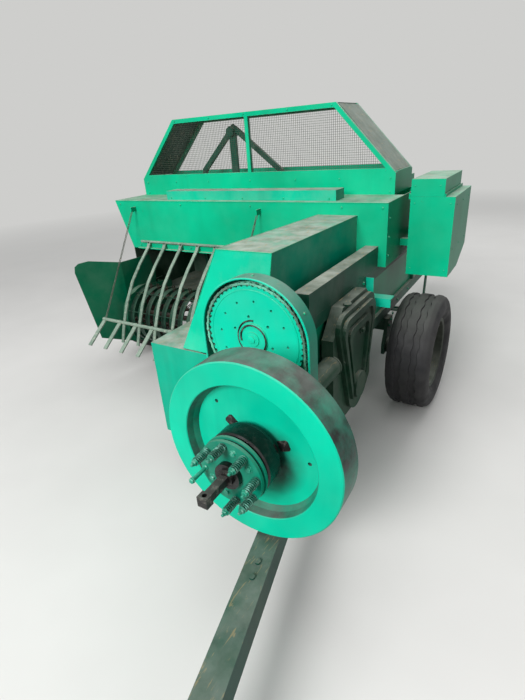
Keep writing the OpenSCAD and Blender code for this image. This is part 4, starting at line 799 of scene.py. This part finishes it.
def gearcase_trim():
    """Bolts, a filler cap and a drain boss on the gearcase and its cover."""
    k = Kit()
    face_x, mid_y = 334, -700
    for a in steps(6):
        k.bolt((349, mid_y + 52 * math.cos(a), 440 + 52 * math.sin(a)), LEFT, 7)
    for y, z in ((-850, 800), (-700, 846), (-550, 800), (-880, 640), (-520, 640), (-790, 420), (-610, 420)):
        k.bolt((face_x, y, z), LEFT, 6.5)
    k.disc((face_x, -660, 720), LEFT, 22, 6, 24, 1.5)
    k.bolt((face_x + 6, -660, 720), LEFT, 14, 12, washer=False)
    k.disc((316.5, -800, 889), (0, 0, 1), 20, 12, 20, 3)
    k.done("gearcase_bolts", "casting", "chassis")


def disc_trim():
    """Turned rings, the centre bolt, and a dark spiral rod on the large sprocket: a painted shadow of the
    hub's raised edge.
    """
    k = Kit()
    k.ring((DISC.x, DISC.y - 7, DISC.z), FRONT, 193, 2.2, 96, 8)
    k.ring((DISC.x, DISC.y - 14, DISC.z), FRONT, 61, 2.2, 48, 8)
    k.bolt((DISC.x, DISC.y - 20, DISC.z), FRONT, 17, 6)
    k.done("disc_hub_trim", "green_clean", "drive_disc_unit")
    # Painted shadow: a dark rod where the hub's raised edge throws its shade
    k = Kit()
    pts = []
    for i in range(64):
        r, t = 73 - i * 0.34, 1.5 + i * 0.13
        on_boss = min(1, max(0, (69 - r) / 3))
        pts.append((DISC.x + r * math.cos(t), DISC.y - 8.5 - 7 * on_boss, DISC.z + r * math.sin(t)))
    k.sweep(pts, 3.6, 8)
    k.done("disc_spiral_painted_shadow", "stub", "drive_disc_unit")


def chain_guard_lip():
    """The rolled front edge of the chain guard, and three bolts on its band."""
    k = Kit()
    r, y, leg = 237.6, -1298.0, 248
    arch = [math.pi * i / 48 for i in range(49)]
    pts = [(DISC.x - r, y, DISC.z - leg + i * leg / 4) for i in range(4)]
    pts += [(DISC.x - r * math.cos(t), y, DISC.z + r * math.sin(t)) for t in arch]
    pts += [(DISC.x + r, y, DISC.z - i * leg / 4) for i in range(1, 5)]
    k.sweep(pts, 4.0, 8)
    k.done("chain_guard_lip", "green_clean", "chassis")
    k = Kit()
    for a in (30, 90, 150):
        out = Vector((math.cos(math.radians(a)), 0, math.sin(math.radians(a))))
        k.bolt((DISC.x + 240 * out.x, -1264, DISC.z + 240 * out.z), out, 5)
    k.done("chain_guard_bolts", "green", "chassis")


def flywheel_trim():
    """Two lugs on the web beside the clutch, and the bolts of the hub's rear."""
    k = Kit()
    lug = [(-22, -20), (14, -20), (20, -12), (20, 12), (14, 20), (-22, 20)]
    for a, r in ((138, 121), (20, 122)):
        t = math.radians(a)
        u, w = Vector((math.cos(t), 0, math.sin(t))), Vector((-math.sin(t), 0, math.cos(t)))
        k.prism(lug, Vector((FLY.x, FLY.y + 49.5, FLY.z)) + u * r, u, w, (0, 1, 0), 3)
    k.done("flywheel_lugs", "stub", "flywheel_unit")
    k = Kit()
    for t in steps(6, 11):
        k.bolt((FLY.x + 60 * math.cos(t), FLY.y + 110, FLY.z + 60 * math.sin(t)), (0, 1, 0), 7)
    k.done("flywheel_rear_bolts", "iron", "flywheel_unit")


# Half a tyre's section from bead to crown: radius, and place across in parts of its width
TYRE = [(200, -0.34), (212, -0.36), (230, -0.44), (250, -0.478), (258, -0.486), (262, -0.484), (275, -0.5),
        (290, -0.492), (310, -0.47), (323, -0.45), (334, -0.41), (341, -0.345), (343, -0.335), (344.5, -0.25),
        (336, -0.235), (336, -0.11), (344.8, -0.095), (345, 0.0)]


def tread():
    """Three ribs, wavy grooves and moulded sidewall rings on both tyres, and the wheels' nuts."""
    prof = TYRE + [(r, -h) for r, h in reversed(TYRE[:-1])]
    n, m = 96, len(prof)
    for name, x, w, out in (("left", 475.0, 250.0, 1), ("right", -1770.0, 200.0, -1)):
        k = Kit()
        verts, faces = [], []
        for i in range(n):
            t = 2 * math.pi * i / n
            wave = 3.2 * (1 if i % 4 in (0, 1) else -1)
            for r, h in prof:
                hx = h * w
                if r > 335 and 0.05 < abs(h) < 0.3:
                    hx += wave
                if abs(h) > 0.4 and r > 300 and i % 4 == 0:
                    r = r - 2.2
                verts.append((x + hx, math.cos(t) * r, WHEEL_Z + math.sin(t) * r))
        for i in range(n):
            j = (i + 1) % n
            for q in range(m):
                faces.append((i * m + q, i * m + (q + 1) % m, j * m + (q + 1) % m, j * m + q))
        k.add(verts, faces)
        k.done("tread_" + name, "rubber", "wheel_" + name, angle=40, replaces=["tyre_" + name])
        k = Kit()
        axis = LEFT * out
        for t in steps(5, 36):
            k.bolt((x + out * 24, 62 * math.cos(t), WHEEL_Z + 62 * math.sin(t)), axis, 9, 9)
        k.disc((x + out * 70.5, 0, WHEEL_Z), axis, 30, 7, 24, 2)
        valve = ((0.28, 178), (0.36, 176), (0.42, 174))
        k.sweep([(x + out * (w * across), 0, WHEEL_Z + up) for across, up in valve], 4, 8)
        k.done("wheel_nuts_" + name, "rim", "wheel_" + name)


def twine_box_trim():
    """Rivets of the twine box and its lid."""
    k = Kit()
    x0, x1, y0 = 359, 590, 0
    for z in (850, 1210):
        for x in (x0 + 22, x1 - 22):
            k.rivet((x, y0, z), FRONT, 4.5)
    for y in (60, 240, 420):
        for z in (1200, 960):
            k.rivet((x1, y, z), LEFT, 4.5)
    k.done("twine_box_rivets", "green", "chassis")
    k = Kit()
    for x in (x0 + 20, x0 + 150):
        k.rivet((x, y0, 1300), FRONT, 4.5)
    k.done("lid_rivets", "green", "box_lid")


def reel_trim():
    """Coiled roots of the spring tines, two to a pair, on the reel's four bars."""
    k = Kit()
    bar_r, coil_r = 150, 16.5
    for a in steps(4):
        y, z = REEL_Y - bar_r * math.sin(a), REEL_Z + bar_r * math.cos(a)
        for i in range(14):
            x = BAND_X0 + (i + 0.5) * BAND_STEP
            for side in (-1, 1):
                pts = []
                for j in range(25):
                    t = j / 24 * 4 * math.pi
                    across = side * (10 - j * 0.32)
                    pts.append((x + across, y + coil_r * math.cos(t), z + coil_r * math.sin(t)))
                k.sweep(pts, 2.6, 5)
    k.done("tine_coils", "rust", "reel")


def rods_trim():
    """Bolts of the fixed rods, the bands' tie rods and the windguard's weld beads."""
    k = Kit()
    for i in range(0, 15, 2):
        k.bolt((BAND_X0 + i * BAND_STEP, -222, 950), FRONT, 5, washer=False)
    k.done("rod_bolts", "iron", "chassis")
    k = Kit()
    ties = [Vector((0, math.cos(math.radians(a)), math.sin(math.radians(a)))) for a in (158, 118)]
    for out in ties:
        y, z = REEL_Y + 214.5 * out.y, REEL_Z + 214.5 * out.z
        k.sweep([(-1500, y, z), (-354, y, z)], 3.2, 8)
    for i in range(15):
        for out in ties:
            k.rivet((BAND_X0 + i * BAND_STEP, REEL_Y + 217 * out.y, REEL_Z + 217 * out.z), out, 5)
    k.done("band_ties", "band", "pickup")
    k = Kit()
    bead = [(0, 0), (12.5, 0), (13.5, 6), (13.5, 16), (12.5, 22), (0, 22)]
    for i in range(8):
        k.lathe((-1547 + i * 152, CROSS_Y, CROSS_Z), LEFT, bead, 14, close=False)
    k.done("finger_welds", "rod", "windguard_unit")


def knotter_trim():
    """Bolts and hubs on the knotter's two cam wheels, and the teeth of its drive wheel."""
    k = Kit()
    for x in (-65, 95):
        for t in steps(8):
            k.bolt((x, KNOT_Y + 74 * math.cos(t), KNOT_Z + 74 * math.sin(t)), LEFT, 5, washer=False)
        k.disc((x, KNOT_Y, KNOT_Z), LEFT, 34, 7, 28, 2)
    for t in steps(24):
        y, z = KNOT_Y + 70 * math.cos(t), KNOT_Z + 70 * math.sin(t)
        k.box((196, y - 4, z - 4), (224, y + 4, z + 4))
    k.done("knotter_teeth", "iron", "chassis")


def needle_trim():
    """Twine rings on the needles, and the bolts of the yoke's axle."""
    k = Kit()
    for x in (-80, 80):
        for a in (-154, -131, -102):
            u = Vector((0, math.cos(math.radians(a)), math.sin(math.radians(a))))
            k.ring(Vector((x, NEEDLE_Y, NEEDLE_Z)) + u * 500, u.cross(LEFT), 9.5, 3, 20, 6)
    for s in (-1, 1):
        k.bolt((s * 272.5, NEEDLE_Y, NEEDLE_Z), LEFT * s, 15, 7)
    k.done("needle_rings", "iron", "needles")


def seams():
    """Folded edges and seams of the sheet metal."""
    k = Kit()
    hood_l, hood_r = (-181, -1070, 1174), (99, -1070, 1174)
    for a, b, r in (
            ((HOUSE_X0 + 6, PANEL_Y - 1, TOP_Z - 2), (HOUSE_X1 - 3, PANEL_Y - 1, TOP_Z - 2), 2.4),
            ((-1574, PANEL_Y - 18, 906), (-236, PANEL_Y - 18, 906), 4.2),
            (hood_l, (-101, PANEL_Y, 1174), 2.5),
            (hood_r, (130, PANEL_Y, 1174), 2.5),
            (hood_l, hood_r, 2.5),
            ((-281, -1143, LID_Z), hood_l, 2.2),
            ((99, -1143, LID_Z), hood_r, 2.2)):
        k.sweep([a, b], r, 8)
    k.done("sheet_edges", "green", "chassis")


camera()
stage()
clutch_springs()
drive_chain()
fine_mesh()
windguard_chains()
bolts()
gearcase_trim()
disc_trim()
chain_guard_lip()
flywheel_trim()
tread()
twine_box_trim()
reel_trim()
rods_trim()
knotter_trim()
needle_trim()
seams()
